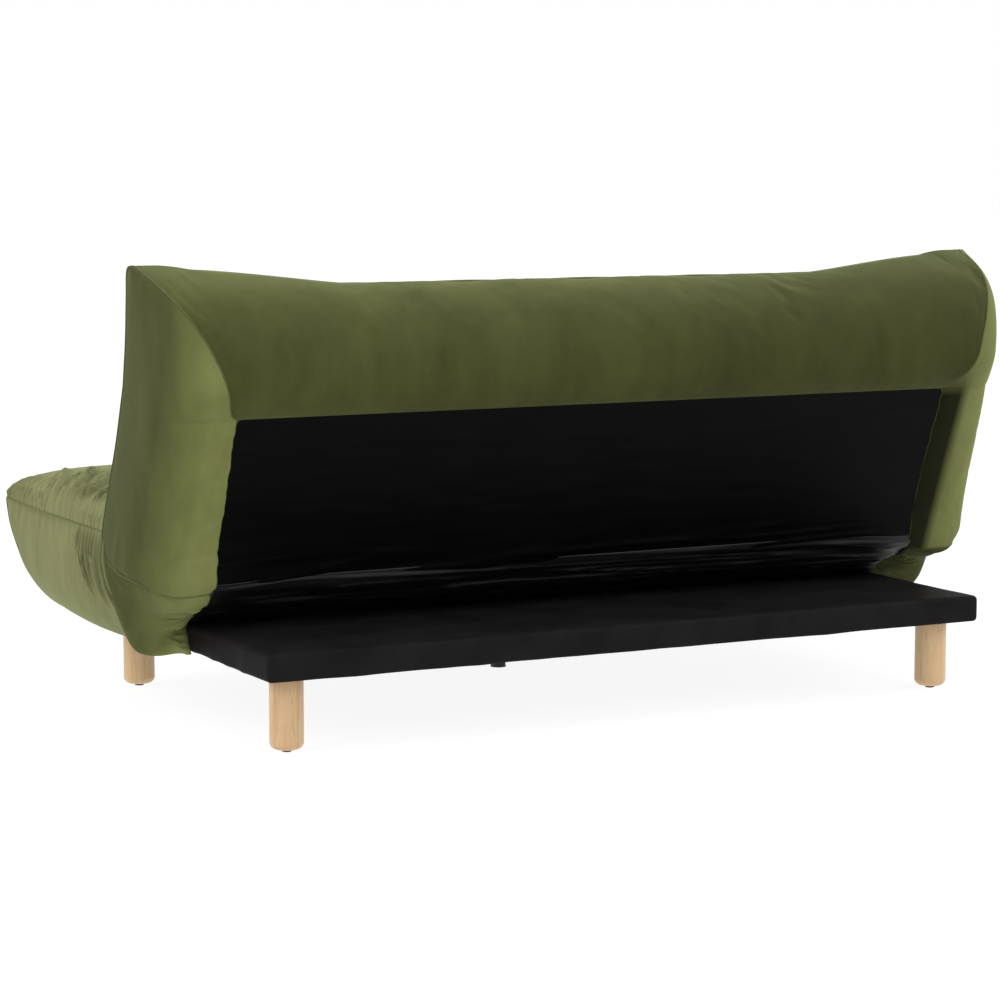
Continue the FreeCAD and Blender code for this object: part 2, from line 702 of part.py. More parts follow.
# The seat's side view: how much of the crown's rise is reached at four places from rear to front.
CROWN_SHARES = {"rear_edge": 0.2, "behind": 0.7, "front": 0.95, "nose": 0.6}


def build_seat_upholstery():
    low = "seat_tube_low + tube_side + holder_thick + slat_thick"

    def section(body, offset, rise):
        sketch = new_sketch(body, "YZ_Plane", offset)
        outline(sketch, [
            ("seat_back_low", low),
            ("seat_back_low", f"{low} + seat_heel"),
            ("seat_back_high", f"seam_high + {rise} * {CROWN_SHARES['rear_edge']}"),
            ("seat_back_high - crown_back_run", f"seam_high + {rise} * {CROWN_SHARES['behind']}"),
            ("crown_rear", f"seam_high + {rise}"),
            ("crown_front", f"seam_high + {rise} * {CROWN_SHARES['front']}"),
            ("seat_nose + nose_run", f"seam_high + {rise} * {CROWN_SHARES['nose']}"),
            ("seat_nose", "seam_high"),
            ("seat_nose + nose_back", "seam_high - nose_drop"),
            ("seat_nose + seat_foot", low),
        ])
        return sketch

    cushion = new_body("seat_cushion")
    crown_rise = "(crown_high - seam_high)"
    rises = (("-seat_width / 2", "side_rise"), ("-crown_width / 2", crown_rise),
             ("crown_width / 2", crown_rise), ("seat_width / 2", "side_rise"))
    sections = [section(cushion, offset, rise) for offset, rise in rises]
    loft = cushion.newObject("PartDesign::AdditiveLoft", "seat_cushion_loft")
    loft.Profile = sections[0]
    loft.Sections = sections[1:]
    loft.Ruled = True
    cushion.Tip = loft
    nodes.append(cushion)

    prism(
        "seat_front_apron",
        "YZ_Plane",
        [
            ("seat_nose + seat_foot", f"{low} - apron_top_gap"),
            ("seat_frame_front - apron_gap", f"{low} - apron_top_gap"),
            ("seat_frame_front - apron_gap", f"{BASE_TOP} + apron_gap"),
            (f"{BASE_FRONT} - apron_gap", f"{BASE_TOP} + apron_gap"),
            (f"{BASE_FRONT} - apron_gap", "skirt_low"),
            (f"{BASE_FRONT} - apron_foot", "skirt_low"),
            (f"{BASE_FRONT} - apron_belly", "skirt_low + skirt_foot_rise"),
        ],
        "-base_width / 2",
        "base_width / 2",
    )

    for side, sign, _ in SIDES:
        prism(
            f"seat_{side}_skirt",
            "YZ_Plane",
            [
                ("skirt_rear", "skirt_low"),
                ("skirt_rear", "seat_tube_low + skirt_gap"),
                ("seat_back_low", "seat_tube_low + skirt_gap"),
                ("seat_back_low", low),
                ("seat_nose + skirt_front_high", low),
                ("seat_nose + skirt_front_mid", "skirt_low + skirt_mid_rise"),
                ("seat_nose + skirt_front_low", "skirt_low + skirt_foot_rise"),
                ("seat_nose + skirt_front_foot", "skirt_low"),
            ],
            f"{sign}(base_width / 2 + skirt_gap)",
            f"{sign}(skirt_wide / 2)",
        )


def build_back_upholstery():
    foam_low = "-panel_depth + panel_thick + tube_side + holder_thick + slat_thick"
    cushion = prism(
        "back_cushion",
        "YZ_Plane",
        [
            ("heel_rear", foam_low),
            ("heel_tip", "heel_depth"),
            ("chin_start", "chin_depth"),
            ("chest_start", "back_front"),
            ("back_ridge - shoulder_run", "back_front + chest_swell"),
            ("back_ridge", "ridge_front"),
            ("panel_end + foam_top_gap", foam_low),
        ],
        "-back_foam_width / 2",
        "back_foam_width / 2",
    )
    for side, sign, way in SIDES:
        slot = new_sketch(cushion, "YZ_Plane", f"{sign}slot_start")
        outline(slot, rectangle("slot_low", "slot_high", "slot_rear", "slot_front"))
        cut(cushion, slot, "slot_end - slot_start", way)
    on_back(cushion)

    for side, sign, _ in SIDES:
        on_back(prism(
            f"back_{side}_wing",
            "YZ_Plane",
            [
                ("wing_foot", "-panel_depth + wing_foot_in"),
                ("wing_heel", "wing_heel_depth"),
                ("wing_tip", "heel_depth"),
                ("chin_start", "chin_depth"),
                ("chest_start", "back_front"),
                ("wing_face_end", "back_front"),
                ("wing_top - wing_peak_run", "wing_reach"),
                ("wing_top", "wing_reach - wing_lip"),
                ("wing_top", "wing_shoulder"),
                ("back_ridge", "wing_rear_depth"),
                ("wing_bulge_high", "-panel_depth - wing_bulge_small"),
                ("wing_bulge_low", "-panel_depth - wing_bulge_large"),
                ("panel_end", "-panel_depth"),
            ],
            f"{sign}wing_start",
            f"{sign}wing_end",
        ))

    on_back(prism(
        "back_panel_cover",
        "YZ_Plane",
        rectangle("panel_start", "panel_end", "-panel_depth", "-panel_depth + panel_thick"),
        "-panel_width / 2",
        "panel_width / 2",
    ))
    on_back(prism(
        "back_top_band",
        "YZ_Plane",
        [
            ("panel_end + band_gap", "-panel_depth + panel_thick"),
            ("panel_end + band_rise", "-panel_depth"),
            ("back_ridge + band_over", "ridge_front - band_front"),
            ("back_ridge + band_gap", "ridge_front"),
            ("panel_end + band_end", foam_low),
        ],
        "-back_foam_width / 2",
        "back_foam_width / 2",
    ))
    panel_foot_y = "(pivot_y + panel_start * sin(recline) + panel_depth * cos(recline))"
    panel_foot_z = "(pivot_z + panel_start * cos(recline) - panel_depth * sin(recline))"
    prism(
        "gap_cloth",
        "YZ_Plane",
        [
            (f"{panel_foot_y} + cloth_start", panel_foot_z),
            (f"{panel_foot_y} + cloth_start + cloth_slack", panel_foot_z),
            ("cloth_fold + cloth_start", BASE_TOP),
            ("cloth_fold - cloth_hem", BASE_TOP),
            ("cloth_fold - cloth_hem", f"{BASE_TOP} + cloth_thick"),
            ("cloth_fold", f"{BASE_TOP} + cloth_thick"),
        ],
        "-frame_width / 2 + cloth_edge",
        "frame_width / 2 - cloth_edge",
    )


# ---------------------------------------------------------------- assembly

def build_frames():
    seat = build_frame("seat", "seat_frame_front", "seat_frame_rear", "seat_tube_low")
    group("seat_slat_holders", seat[3])
    back = build_frame("back", "back_frame_start", "back_frame_end", "-panel_depth + panel_thick")
    for piece in (*back[0], *back[1], back[2], *back[3]):
        on_back(piece)
    group("back_slat_holders", back[3])
    for tubes, spots in ((seat[1], PLATE_BOLTS), (back[1], ARM_BOLTS)):
        for tube, (_, sign, way) in zip(tubes, SIDES):
            drill(tube, "YZ_Plane", spots, "hinge_bolt / 2", f"{sign}({TUBE_X})", "tube_side", way)
    for tube, (_, sign, _) in zip(seat[1], SIDES):
        spots = [spot for spot in frame_bolt_spots if spot[0].startswith("-") == (sign == "-")]
        drill(tube, "XY_Plane", spots, "bolt_diameter / 2")


def build_frame_bolts():
    solids = []
    for index, (across, along) in enumerate(frame_bolt_spots):
        top = "seat_tube_low + tube_side"
        shank = rod(f"frame_bolt_shank_{index}", "Z", across, along, RAIL_LOW,
                    "bolt_diameter / 2", f"{top} - ({RAIL_LOW})")
        head = rod(f"frame_bolt_head_{index}", "Z", across, along, top, "frame_bolt_head / 2",
                   "frame_bolt_height")
        solids.append(fuse(f"frame_bolt_{index}", shank, head))
    group("seat_frame_bolts", solids)


def write_parts():
    doc.recompute()
    failed = [o.Label for o in doc.Objects if {"Invalid", "Error"} & set(o.State)]
    if failed:
        raise RuntimeError(f"failed objects: {failed}")
    for node in nodes:
        if node.Shape.isNull() or not node.Shape.isValid():
            raise RuntimeError(f"{node.Label} has no valid shape")
    os.makedirs("parts", exist_ok=True)
    for node in nodes:
        node.Shape.exportStep(f"parts/{node.Label}.step")
    print(len(nodes), "nodes written")


build_platform()
build_legs()
build_centre_support()
build_frames()
build_frame_bolts()
build_hinges()
bolt_group("seat_hinge_bolts", PLATE_BOLTS, "plate_start + hinge_thick", False)
bolt_group("back_hinge_bolts", ARM_BOLTS, "plate_start + 2 * hinge_thick + hinge_gap", True)
build_seat_upholstery()
build_back_upholstery()
write_parts()
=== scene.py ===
import json
import math

import bmesh
import bpy
import numpy as np
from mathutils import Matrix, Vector, kdtree, noise


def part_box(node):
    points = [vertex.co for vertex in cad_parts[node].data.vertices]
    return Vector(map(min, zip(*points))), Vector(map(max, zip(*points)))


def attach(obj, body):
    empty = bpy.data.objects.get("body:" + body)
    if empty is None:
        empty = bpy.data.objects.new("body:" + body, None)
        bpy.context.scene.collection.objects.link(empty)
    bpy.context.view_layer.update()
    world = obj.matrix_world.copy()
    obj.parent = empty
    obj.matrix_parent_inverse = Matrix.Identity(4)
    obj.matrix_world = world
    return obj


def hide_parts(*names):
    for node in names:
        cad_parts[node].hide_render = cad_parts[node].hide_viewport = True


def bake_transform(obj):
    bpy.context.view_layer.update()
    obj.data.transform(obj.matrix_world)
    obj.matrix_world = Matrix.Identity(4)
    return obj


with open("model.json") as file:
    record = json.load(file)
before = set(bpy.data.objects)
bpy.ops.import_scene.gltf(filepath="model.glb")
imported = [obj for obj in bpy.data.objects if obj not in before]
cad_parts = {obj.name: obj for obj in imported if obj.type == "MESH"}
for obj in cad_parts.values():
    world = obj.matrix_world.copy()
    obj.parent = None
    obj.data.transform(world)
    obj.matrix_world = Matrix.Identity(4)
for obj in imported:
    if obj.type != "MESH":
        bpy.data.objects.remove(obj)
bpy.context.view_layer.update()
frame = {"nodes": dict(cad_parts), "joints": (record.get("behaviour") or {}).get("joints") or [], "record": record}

# ---------------- places taken from the frame

recline = next(j for j in frame["joints"] if j["name"] == "back_recline")
PIVOT_Y, PIVOT_Z = recline["pos_m"][1:]
STAND = math.radians(recline["range_deg"][1])     # how far the back stands up from lying flat

platform_low, platform_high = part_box("base_top_cover")
seat_low, seat_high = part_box("seat_cushion")

PANEL_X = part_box("back_panel_cover")[1].x         # half width of the black rear panel
PANEL_N = -0.080                  # the panel's plane, behind the pivot
PANEL_TOP = 0.394                 # how far up the back the panel ends and the green band begins
PANEL_FOOT = 0.030                # how far up the back the panel's cloth begins
PANEL_LAP = 0.005                 # how far the panel's cloth runs on under the band
PANEL_TURN = 0.007                # how far it runs on under the ends
HINGE_LINE = 0.052                # how far up the back the gap cloth is sewn to the panel
TUCK = 0.0022                     # how far a seam beside the panel lies behind its cloth
TIP = (0.936, 0.598, 0.163)       # the raised tip of the back: across, up the back, forward
SIDE_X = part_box("back_left_wing")[1].x            # half width at the wings
BASE_X = platform_high.x
BASE_LOW = platform_low.z
NOSE_Y = seat_low.y
SEAM_Z = 0.384                    # the seam round the seat's top
CROWN_Z = seat_high.z

ACROSS = 240                      # steps across the sofa
SECTION = 60                      # steps from rear to front over an end of the back
LOWER = 64                        # steps up the back beside the rear panel
UPPER = 46                        # steps up the back above the rear panel
LOBE = 84                         # steps down the hinge gusset
FOLD_REACH = 0.045                # how far a fold's line may lie from the cover it raises
DROP = 60                         # steps down the seat's side
SEAT_ACROSS = 190

CHANNEL = 0.264                   # width of one sewn channel on the front
ON_SEAM = 6e-4                    # how near a seam a vertex has to be to be held by it
CLOTH = 0.0012                    # thickness of the black cloth
PIPING = 0.0015                   # radius of the back's seams
SEAT_PIPING = 0.0014              # radius of the seat's seams


# ---------------- curves and patches

def smoothstep(low, high, value):
    share = np.clip((value - low) / (high - low), 0, 1)
    return share * share * (3 - 2 * share)


def smooth(points, count):
    """Evenly spaced points on a smooth curve through the given ones."""
    p = np.array(points, float)
    ends = np.vstack([2 * p[0] - p[1], p, 2 * p[-1] - p[-2]])
    t = np.linspace(0, 1, 24, endpoint=False)[:, None]
    spans = [
        0.5 * (2 * b + (c - a) * t + (2 * a - 5 * b + 4 * c - d) * t**2 + (3 * b - a - 3 * c + d) * t**3)
        for a, b, c, d in zip(ends, ends[1:], ends[2:], ends[3:])
    ]
    dense = np.vstack([*spans, p[-1:]])
    run = np.r_[0, np.cumsum(np.linalg.norm(np.diff(dense, axis=0), axis=1))]
    want = np.linspace(0, run[-1], count + 1)
    return np.stack([np.interp(want, run, dense[:, k]) for k in range(p.shape[1])], 1)


def mirrored(points):
    return points * np.array([-1, 1, 1])


def stood(points):
    """From the back's own frame (across, up the back, towards the sitter) to the row frame."""
    x, s, n = points[..., 0], points[..., 1], points[..., 2]
    y = PIVOT_Y + s * math.cos(STAND) - n * math.sin(STAND)
    z = PIVOT_Z + s * math.sin(STAND) + n * math.cos(STAND)
    return np.stack([x, y, z], -1)


def spread(count):
    """Places from -1 to 1, closer together near both ends."""
    t = np.linspace(-1, 1, count + 1)
    return 0.45 * t + 0.55 * np.sin(math.pi / 2 * t)


def wander(values, seed, reach):
    """A slow random drift along a row of places."""
    return np.array([noise.noise(Vector((v, seed, 0.37))) for v in values]) * reach


def outward(grid, inside):
    """Unit normals of a patch, pointing away from a place inside the cushion."""
    n = normals(grid)
    middle = grid[grid.shape[0] // 2, grid.shape[1] // 2] - inside
    return -n if n[grid.shape[0] // 2, grid.shape[1] // 2] @ middle < 0 else n


def fold_lift(points, normal, folds):
    """How far folds raise each place. A fold is its line of points, its height and its half width."""
    lift = np.zeros(len(points))
    for line, height, width in folds:
        line = np.array(line, float)
        low, high = line.min(axis=0) - FOLD_REACH, line.max(axis=0) + FOLD_REACH
        near = np.flatnonzero(np.all((points > low) & (points < high), axis=1))
        run = np.r_[0, np.cumsum(np.linalg.norm(np.diff(line, axis=0), axis=1))]
        best = np.full(len(near), 9.0)
        along = np.zeros(len(near))
        for a, b, start, end in zip(line, line[1:], run, run[1:]):
            step = b - a
            share = np.clip(((points[near] - a) @ step) / (step @ step), 0, 1)
            offset = points[near] - (a + share[:, None] * step)
            deep = np.sum(offset * normal[near], axis=1, keepdims=True)
            away = np.linalg.norm(offset - deep * normal[near], axis=1)
            along = np.where(away < best, (start + share * (end - start)) / run[-1], along)
            best = np.minimum(away, best)
        taper = np.sin(math.pi * np.clip(along, 0.06, 0.97)) ** 0.7
        lift[near] += height * taper * np.exp(-(best / width) ** 2)
    return lift


def add_folds(grid, inside, folds):
    """A patch with folds raised on it."""
    normal = outward(grid, inside)
    lift = fold_lift(grid.reshape(-1, 3), normal.reshape(-1, 3), folds)
    return grid + normal * lift.reshape(*grid.shape[:2], 1)


def pleat(piece, folds, seams, clear=0.0030):
    """Raises folds on a settled cover, leaving its seams where they are."""
    count = len(piece.data.vertices)
    points, normal = np.zeros(3 * count), np.zeros(3 * count)
    piece.data.vertices.foreach_get("co", points)
    piece.data.vertices.foreach_get("normal", normal)
    points, normal = points.reshape(-1, 3), normal.reshape(-1, 3)
    lift = fold_lift(points, normal, folds)
    tree = point_tree(seams)
    for index in np.flatnonzero(np.abs(lift) > 1e-5):
        lift[index] *= min(1.0, tree.find(points[index])[2] / clear)
    points += normal * lift[:, None]
    piece.data.vertices.foreach_set("co", points.astype(np.float32).ravel())
    piece.data.update()


def bezier(a, b, c, d, count):
    t = np.linspace(0, 1, count + 1)[:, None]
    return a * (1 - t)**3 + 3 * b * t * (1 - t)**2 + 3 * c * t * t * (1 - t) + d * t**3


def normals(grid):
    du = np.gradient(grid, axis=0)
    dv = np.gradient(grid, axis=1)
    n = np.cross(du, dv)
    return n / np.maximum(np.linalg.norm(n, axis=-1, keepdims=True), 1e-9)


def fade(shape, rows, cols):
    """1 inside a patch and 0 on its edges, over that many rows and columns."""
    i = np.minimum(np.arange(shape[0]), np.arange(shape[0])[::-1])
    j = np.minimum(np.arange(shape[1]), np.arange(shape[1])[::-1])
    a = smoothstep(0, rows, i)[:, None] if rows else np.ones((shape[0], 1))
    b = smoothstep(0, cols, j)[None, :] if cols else np.ones((1, shape[1]))
    return a * b


def mesh_from(name, grids, material, weld=2e-4, slots=()):
    """One mesh from patches whose shared edges have the same points. Slots are the patches'
    material numbers, where they differ."""
    bm = bmesh.new()
    for grid, slot in zip(grids, [*slots, *[0] * len(grids)]):
        rows, cols = grid.shape[:2]
        verts = [[bm.verts.new(p) for p in row] for row in grid]
        for i in range(rows - 1):
            for j in range(cols - 1):
                face = bm.faces.new((verts[i][j], verts[i + 1][j], verts[i + 1][j + 1], verts[i][j + 1]))
                face.material_index = slot
    bmesh.ops.remove_doubles(bm, verts=bm.verts, dist=weld)
    bmesh.ops.dissolve_degenerate(bm, edges=bm.edges, dist=1e-5)
    bmesh.ops.recalc_face_normals(bm, faces=bm.faces)
    return finish_mesh(name, bm, material)


def finish_mesh(name, bm, material):
    mesh = bpy.data.meshes.new(name)
    bm.to_mesh(mesh)
    bm.free()
    for face in mesh.polygons:
        face.use_smooth = True
    mesh.materials.append(material)
    piece = bpy.data.objects.new(name, mesh)
    bpy.context.scene.collection.objects.link(piece)
    return piece


def point_tree(lines):
    points = np.vstack(lines)
    tree = kdtree.KDTree(len(points))
    for index, point in enumerate(points):
        tree.insert(point, index)
    tree.balance()
    return tree


def near_lines(piece, lines, reach):
    """The numbers of the vertices that lie on any of the lines."""
    tree = point_tree(lines)
    return [v.index for v in piece.data.vertices if tree.find(v.co)[2] < reach]


def settle(piece, held, pressure, swell, cap, frames=10):
    """Blows a cover up against its held seams with a cloth simulation, and keeps the result."""
    start = np.array([v.co for v in piece.data.vertices])
    group = piece.vertex_groups.new(name="held")
    group.add(held, 1.0, "REPLACE")
    cloth = piece.modifiers.new("cloth", "CLOTH")
    cloth.settings.quality = 3
    cloth.settings.mass = 0.3
    cloth.settings.tension_stiffness = 18
    cloth.settings.compression_stiffness = 6
    cloth.settings.bending_stiffness = 0.4
    cloth.settings.use_pressure = True
    cloth.settings.uniform_pressure_force = pressure
    cloth.settings.effector_weights.gravity = 0
    cloth.settings.vertex_group_mass = "held"
    cloth.settings.shrink_min = -swell
    cloth.collision_settings.use_collision = False
    cloth.collision_settings.use_self_collision = False
    for step in range(1, frames + 1):
        bpy.context.scene.frame_set(step)
    depsgraph = bpy.context.evaluated_depsgraph_get()
    settled = piece.evaluated_get(depsgraph).data
    end = np.array([v.co for v in settled.vertices])
    move = end - start
    length = np.linalg.norm(move, axis=1, keepdims=True)
    end = start + move * (cap * np.tanh(length / cap) / np.maximum(length, 1e-9))
    piece.modifiers.clear()
    piece.vertex_groups.clear()
    piece.data.vertices.foreach_set("co", end.astype(np.float32).ravel())
    piece.data.update()
    bpy.context.scene.frame_set(1)


def crisp(piece, lines, reach=4e-4):
    """Marks the edges along seams sharp, so light breaks at them."""
    on_seam = set(near_lines(piece, lines, reach))
    for edge in piece.data.edges:
        if edge.vertices[0] in on_seam and edge.vertices[1] in on_seam:
            edge.use_edge_sharp = True


def piping(name, path, radius, body, sides=8):
    """A seam's thin round piping along a path, moving with a body."""
    path = np.array(path)
    ahead = np.gradient(path, axis=0)
    ahead /= np.maximum(np.linalg.norm(ahead, axis=1, keepdims=True), 1e-9)
    side = np.cross(ahead, np.array([0.31, 0.17, 0.93]))
    side /= np.linalg.norm(side, axis=1, keepdims=True)
    up = np.cross(side, ahead)
    turn = np.linspace(0, math.tau, sides, endpoint=False)
    taper = np.minimum(1, np.minimum(np.arange(len(path)), np.arange(len(path))[::-1]) / 3 + 0.25)
    rings = [path + radius * taper[:, None] * (math.cos(a) * side + math.sin(a) * up) for a in turn]
    rings.append(rings[0])
    seam = mesh_from(name, [np.stack(rings, 1)], SEAM_VELVET, 1e-5)
    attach(seam, body)


# ---------------- materials

def new_material(name):
    material = bpy.data.materials.new(name)
    material.use_nodes = True
    tree = material.node_tree
    shader = next(n for n in tree.nodes if n.type == "BSDF_PRINCIPLED")
    coords = tree.nodes.new("ShaderNodeTexCoord")
    return material, tree, shader, coords.outputs["Object"]


def noise_node(tree, vector, scale, detail=4, stretch=(1, 1, 1), roughness=0.5):
    mapping = tree.nodes.new("ShaderNodeMapping")
    mapping.inputs["Scale"].default_value = stretch
    tree.links.new(vector, mapping.inputs["Vector"])
    texture = tree.nodes.new("ShaderNodeTexNoise")
    texture.inputs["Scale"].default_value = scale
    texture.inputs["Detail"].default_value = detail
    texture.inputs["Roughness"].default_value = roughness
    tree.links.new(mapping.outputs["Vector"], texture.inputs["Vector"])
    return texture.outputs["Fac"]


def ramp(tree, value, stops):
    node = tree.nodes.new("ShaderNodeValToRGB")
    elements = node.color_ramp.elements
    while len(elements) < len(stops):
        elements.new(0.5)
    for element, (place, colour) in zip(elements, stops):
        element.position = place
        element.color = (*colour, 1) if len(colour) == 3 else colour
    tree.links.new(value, node.inputs["Fac"])
    return node.outputs["Color"]


def mix_colours(tree, share, first, second, kind="MIX"):
    node = tree.nodes.new("ShaderNodeMix")
    node.data_type = "RGBA"
    node.blend_type = kind
    for socket, value in ((node.inputs[0], share), (node.inputs[6], first), (node.inputs[7], second)):
        if isinstance(value, (float, int)):
            socket.default_value = value
        elif isinstance(value, tuple):
            socket.default_value = (*value, 1)
        else:
            tree.links.new(value, socket)
    return node.outputs[2]


def add_bump(tree, shader, layers):
    """Chains bumps, each (height, strength, distance in metres)."""
    last = None
    for height, strength, distance in layers:
        node = tree.nodes.new("ShaderNodeBump")
        node.inputs["Strength"].default_value = strength
        node.inputs["Distance"].default_value = distance
        tree.links.new(height, node.inputs["Height"])
        if last is not None:
            tree.links.new(last, node.inputs["Normal"])
        last = node.outputs["Normal"]
    tree.links.new(last, shader.inputs["Normal"])


def map_range(tree, value, low, high):
    node = tree.nodes.new("ShaderNodeMapRange")
    node.inputs["To Min"].default_value = low
    node.inputs["To Max"].default_value = high
    tree.links.new(value, node.inputs["Value"])
    return node.outputs["Result"]


def velvet(name, dark, light, sheen=0.30):
    """Short-pile velvet: brushed patches, a fine pile, painted shade in its creases (ambient occlusion darkening
    the base colour) and a sheen at grazing angles.
    """
    material, tree, shader, place = new_material(name)
    brushed = noise_node(tree, place, 3.2, 5, (2.2, 2.2, 0.7), 0.6)
    streaks = noise_node(tree, place, 26, 3, (1, 1, 0.16), 0.55)
    pile = noise_node(tree, place, 900, 2)
    shade = ramp(tree, brushed, [(0.3, dark), (0.72, light)])
    streaked = ramp(tree, streaks, [(0.35, (0.84, 0.84, 0.84)), (0.65, (1.08, 1.08, 1.08))])
    mixed = mix_colours(tree, 0.5, shade, streaked, "MULTIPLY")
    grain = ramp(tree, pile, [(0.3, (0.8, 0.8, 0.8)), (0.7, (1.15, 1.15, 1.15))])
    piled = mix_colours(tree, 0.55, mixed, grain, "MULTIPLY")
    # painted shade: ambient occlusion darkens the base colour in creases and between folds
    crease = tree.nodes.new("ShaderNodeAmbientOcclusion")
    crease.samples = 6
    crease.inputs["Distance"].default_value = CREASE
    shadow = ramp(tree, crease.outputs["AO"], [(0.42, (0.30, 0.31, 0.24)), (0.90, (1, 1, 1))])
    tree.links.new(mix_colours(tree, 1.0, piled, shadow, "MULTIPLY"), shader.inputs["Base Color"])
    tree.links.new(map_range(tree, brushed, 0.72, 0.92), shader.inputs["Roughness"])
    shader.inputs["Specular IOR Level"].default_value = 0.05
    shader.inputs["Sheen Weight"].default_value = sheen
    shader.inputs["Sheen Roughness"].default_value = 0.42
    shader.inputs["Sheen Tint"].default_value = (0.60, 0.68, 0.32, 1)
    add_bump(tree, shader, [(streaks, 0.25, 0.0012), (pile, 0.35, 0.0004)])
    return material


def share_of(tree, value, low, high):
    """How far a value has come from low to high, between 0 and 1."""
    node = tree.nodes.new("ShaderNodeMapRange")
    node.inputs["From Min"].default_value = low
    node.inputs["From Max"].default_value = high
    tree.links.new(value, node.inputs["Value"])
    return node.outputs["Result"]


def place_parts(material):
    """A material's node tree, its place output, and that place's X, Y and Z."""
    tree = material.node_tree
    place = next(n for n in tree.nodes if n.type == "TEX_COORD").outputs["Object"]
    split = tree.nodes.new("ShaderNodeSeparateXYZ")
    tree.links.new(place, split.inputs[0])
    return tree, place, split.outputs


def tint(material, tone):
    """Multiplies a material's colour by a tone."""
    tree = material.node_tree
    shader = next(n for n in tree.nodes if n.type == "BSDF_PRINCIPLED")
    colour = shader.inputs["Base Color"].links[0].from_socket
    tree.links.new(mix_colours(tree, 1.0, colour, tone, "MULTIPLY"), shader.inputs["Base Color"])
    return material


def paint_end_sheen_and_shade(material, left, right, right_high, right_low):
    """Paints light, sheen and shade into the ends' velvet by how far round the end a place is,
    lightening or darkening strips as light and sheen fall on them. Each list gives places and tones. The right end
    has its own tones above the rear panel, which its outer face shares, and below the low seam."""
    tree, place, axes = place_parts(material)

    def round_the_end(direction, stops):
        dot = tree.nodes.new("ShaderNodeVectorMath")
        dot.operation = "DOT_PRODUCT"
        dot.inputs[1].default_value = direction
        tree.links.new(place, dot.inputs[0])
        low, high = stops[0][0], stops[-1][0]
        tones = [((x - low) / (high - low), (k, k, k)) for x, k in stops]
        return ramp(tree, share_of(tree, dot.outputs["Value"], low, high), tones)

    # painted sheen and shade on the right end: below the low seam, beside the rear panel and above it
    foot, middle, top = (round_the_end(ROUND_RIGHT, stops) for stops in (right_low, right, right_high))
    tone = mix_colours(tree, share_of(tree, axes["Z"], *LOW_SEAM_Z), foot, middle)
    tone = mix_colours(tree, share_of(tree, axes["Z"], *ABOVE_PANEL_Z), tone, top)
    tone = mix_colours(tree, share_of(tree, axes["X"], *OUTER_FACE_X), tone, top)
    # painted sheen and shade on the left end
    left_tone = round_the_end(ROUND_LEFT, left)
    return tint(material, mix_colours(tree, share_of(tree, axes["X"], -0.1, 0.1), tone, left_tone))


def lean_across(material, right, left):
    """A velvet's tone drifting slowly from one end of the sofa to the other."""
    tree, _, axes = place_parts(material)
    share = share_of(tree, axes["X"], -SIDE_X, SIDE_X)
    return tint(material, ramp(tree, share, [(0.1, (right,) * 3), (0.9, (left,) * 3)]))


def nonwoven(name, dark, light, gloss):
    """Black spunbond cloth: matt, with fine random fibres."""
    material, tree, shader, place = new_material(name)
    patches = noise_node(tree, place, 9, 4)
    fibres = noise_node(tree, place, 420, 3, (1, 1, 1), 0.7)
    creases = noise_node(tree, place, 16, 5, (0.35, 1, 1.6), 0.6)
    tree.links.new(ramp(tree, patches, [(0.3, dark), (0.75, light)]), shader.inputs["Base Color"])
    tree.links.new(map_range(tree, fibres, 0.40, 0.55), shader.inputs["Roughness"])
    shader.inputs["Specular IOR Level"].default_value = gloss
    shader.inputs["Sheen Weight"].default_value = 0.0
    add_bump(tree, shader, [(creases, 0.3, 0.004), (fibres, 0.4, 0.0005)])
    return material


def turned_wood(name, dark, light, grain_scale=22):
    """Pale close-grained hardwood, its grain running up the leg."""
    material, tree, shader, place = new_material(name)
    warp = noise_node(tree, place, 5, 3, (1, 1, 0.25))
    grain = noise_node(tree, place, grain_scale, 6, (3.2, 3.2, 0.14), 0.6)
    pores = noise_node(tree, place, 260, 2, (3, 3, 0.12), 0.5)
    base = ramp(tree, grain, [(0.32, dark), (0.5, light), (0.68, tuple(0.93 * c for c in light))])
    tinted = mix_colours(tree, 0.35, base, ramp(tree, warp, [(0.3, dark), (0.7, light)]))
    flecks = ramp(tree, pores, [(0.36, (0.72, 0.66, 0.58)), (0.46, (1, 1, 1))])
    tree.links.new(mix_colours(tree, 0.5, tinted, flecks, "MULTIPLY"), shader.inputs["Base Color"])
    tree.links.new(map_range(tree, grain, 0.38, 0.52), shader.inputs["Roughness"])
    shader.inputs["Coat Weight"].default_value = 0.12
    shader.inputs["Coat Roughness"].default_value = 0.3
    add_bump(tree, shader, [(grain, 0.15, 0.0006), (pores, 0.2, 0.0003)])
    return material


def plain(name, colour, roughness, metallic=0.0, texture_scale=120, depth=0.0003):
    """Moulded plastic or coated metal, with a faint texture and uneven gloss."""
    material, tree, shader, place = new_material(name)
    fine = noise_node(tree, place, texture_scale, 3)
    wide = noise_node(tree, place, 7, 3)
    shade = ramp(tree, wide, [(0.3, tuple(0.8 * c for c in colour)), (0.7, colour)])
    tree.links.new(shade, shader.inputs["Base Color"])
    tree.links.new(map_range(tree, fine, roughness * 0.85, min(1, roughness * 1.15)),
                   shader.inputs["Roughness"])
    shader.inputs["Metallic"].default_value = metallic
    add_bump(tree, shader, [(fine, 0.3, depth)])
    return material


CREASE = 0.013                    # how near two folds lie for painted shade to darken the crease between them
ROUND_LEFT = (0.936, -0.303, 0.1225)      # direction of the painted sheen and shade across the left end, from its rear edge to its outer face
ROUND_RIGHT = (-0.806, 0.509, -0.2057)    # the same for the painted sheen and shade across the right end
LOW_SEAM_Z = (0.258, 0.266)       # heights between which the right end's painted shade changes at its low seam
ABOVE_PANEL_Z = (0.60, 0.66)      # and above the rear panel
OUTER_FACE_X = (-0.934, -0.945)   # and how far across it changes to the outer face
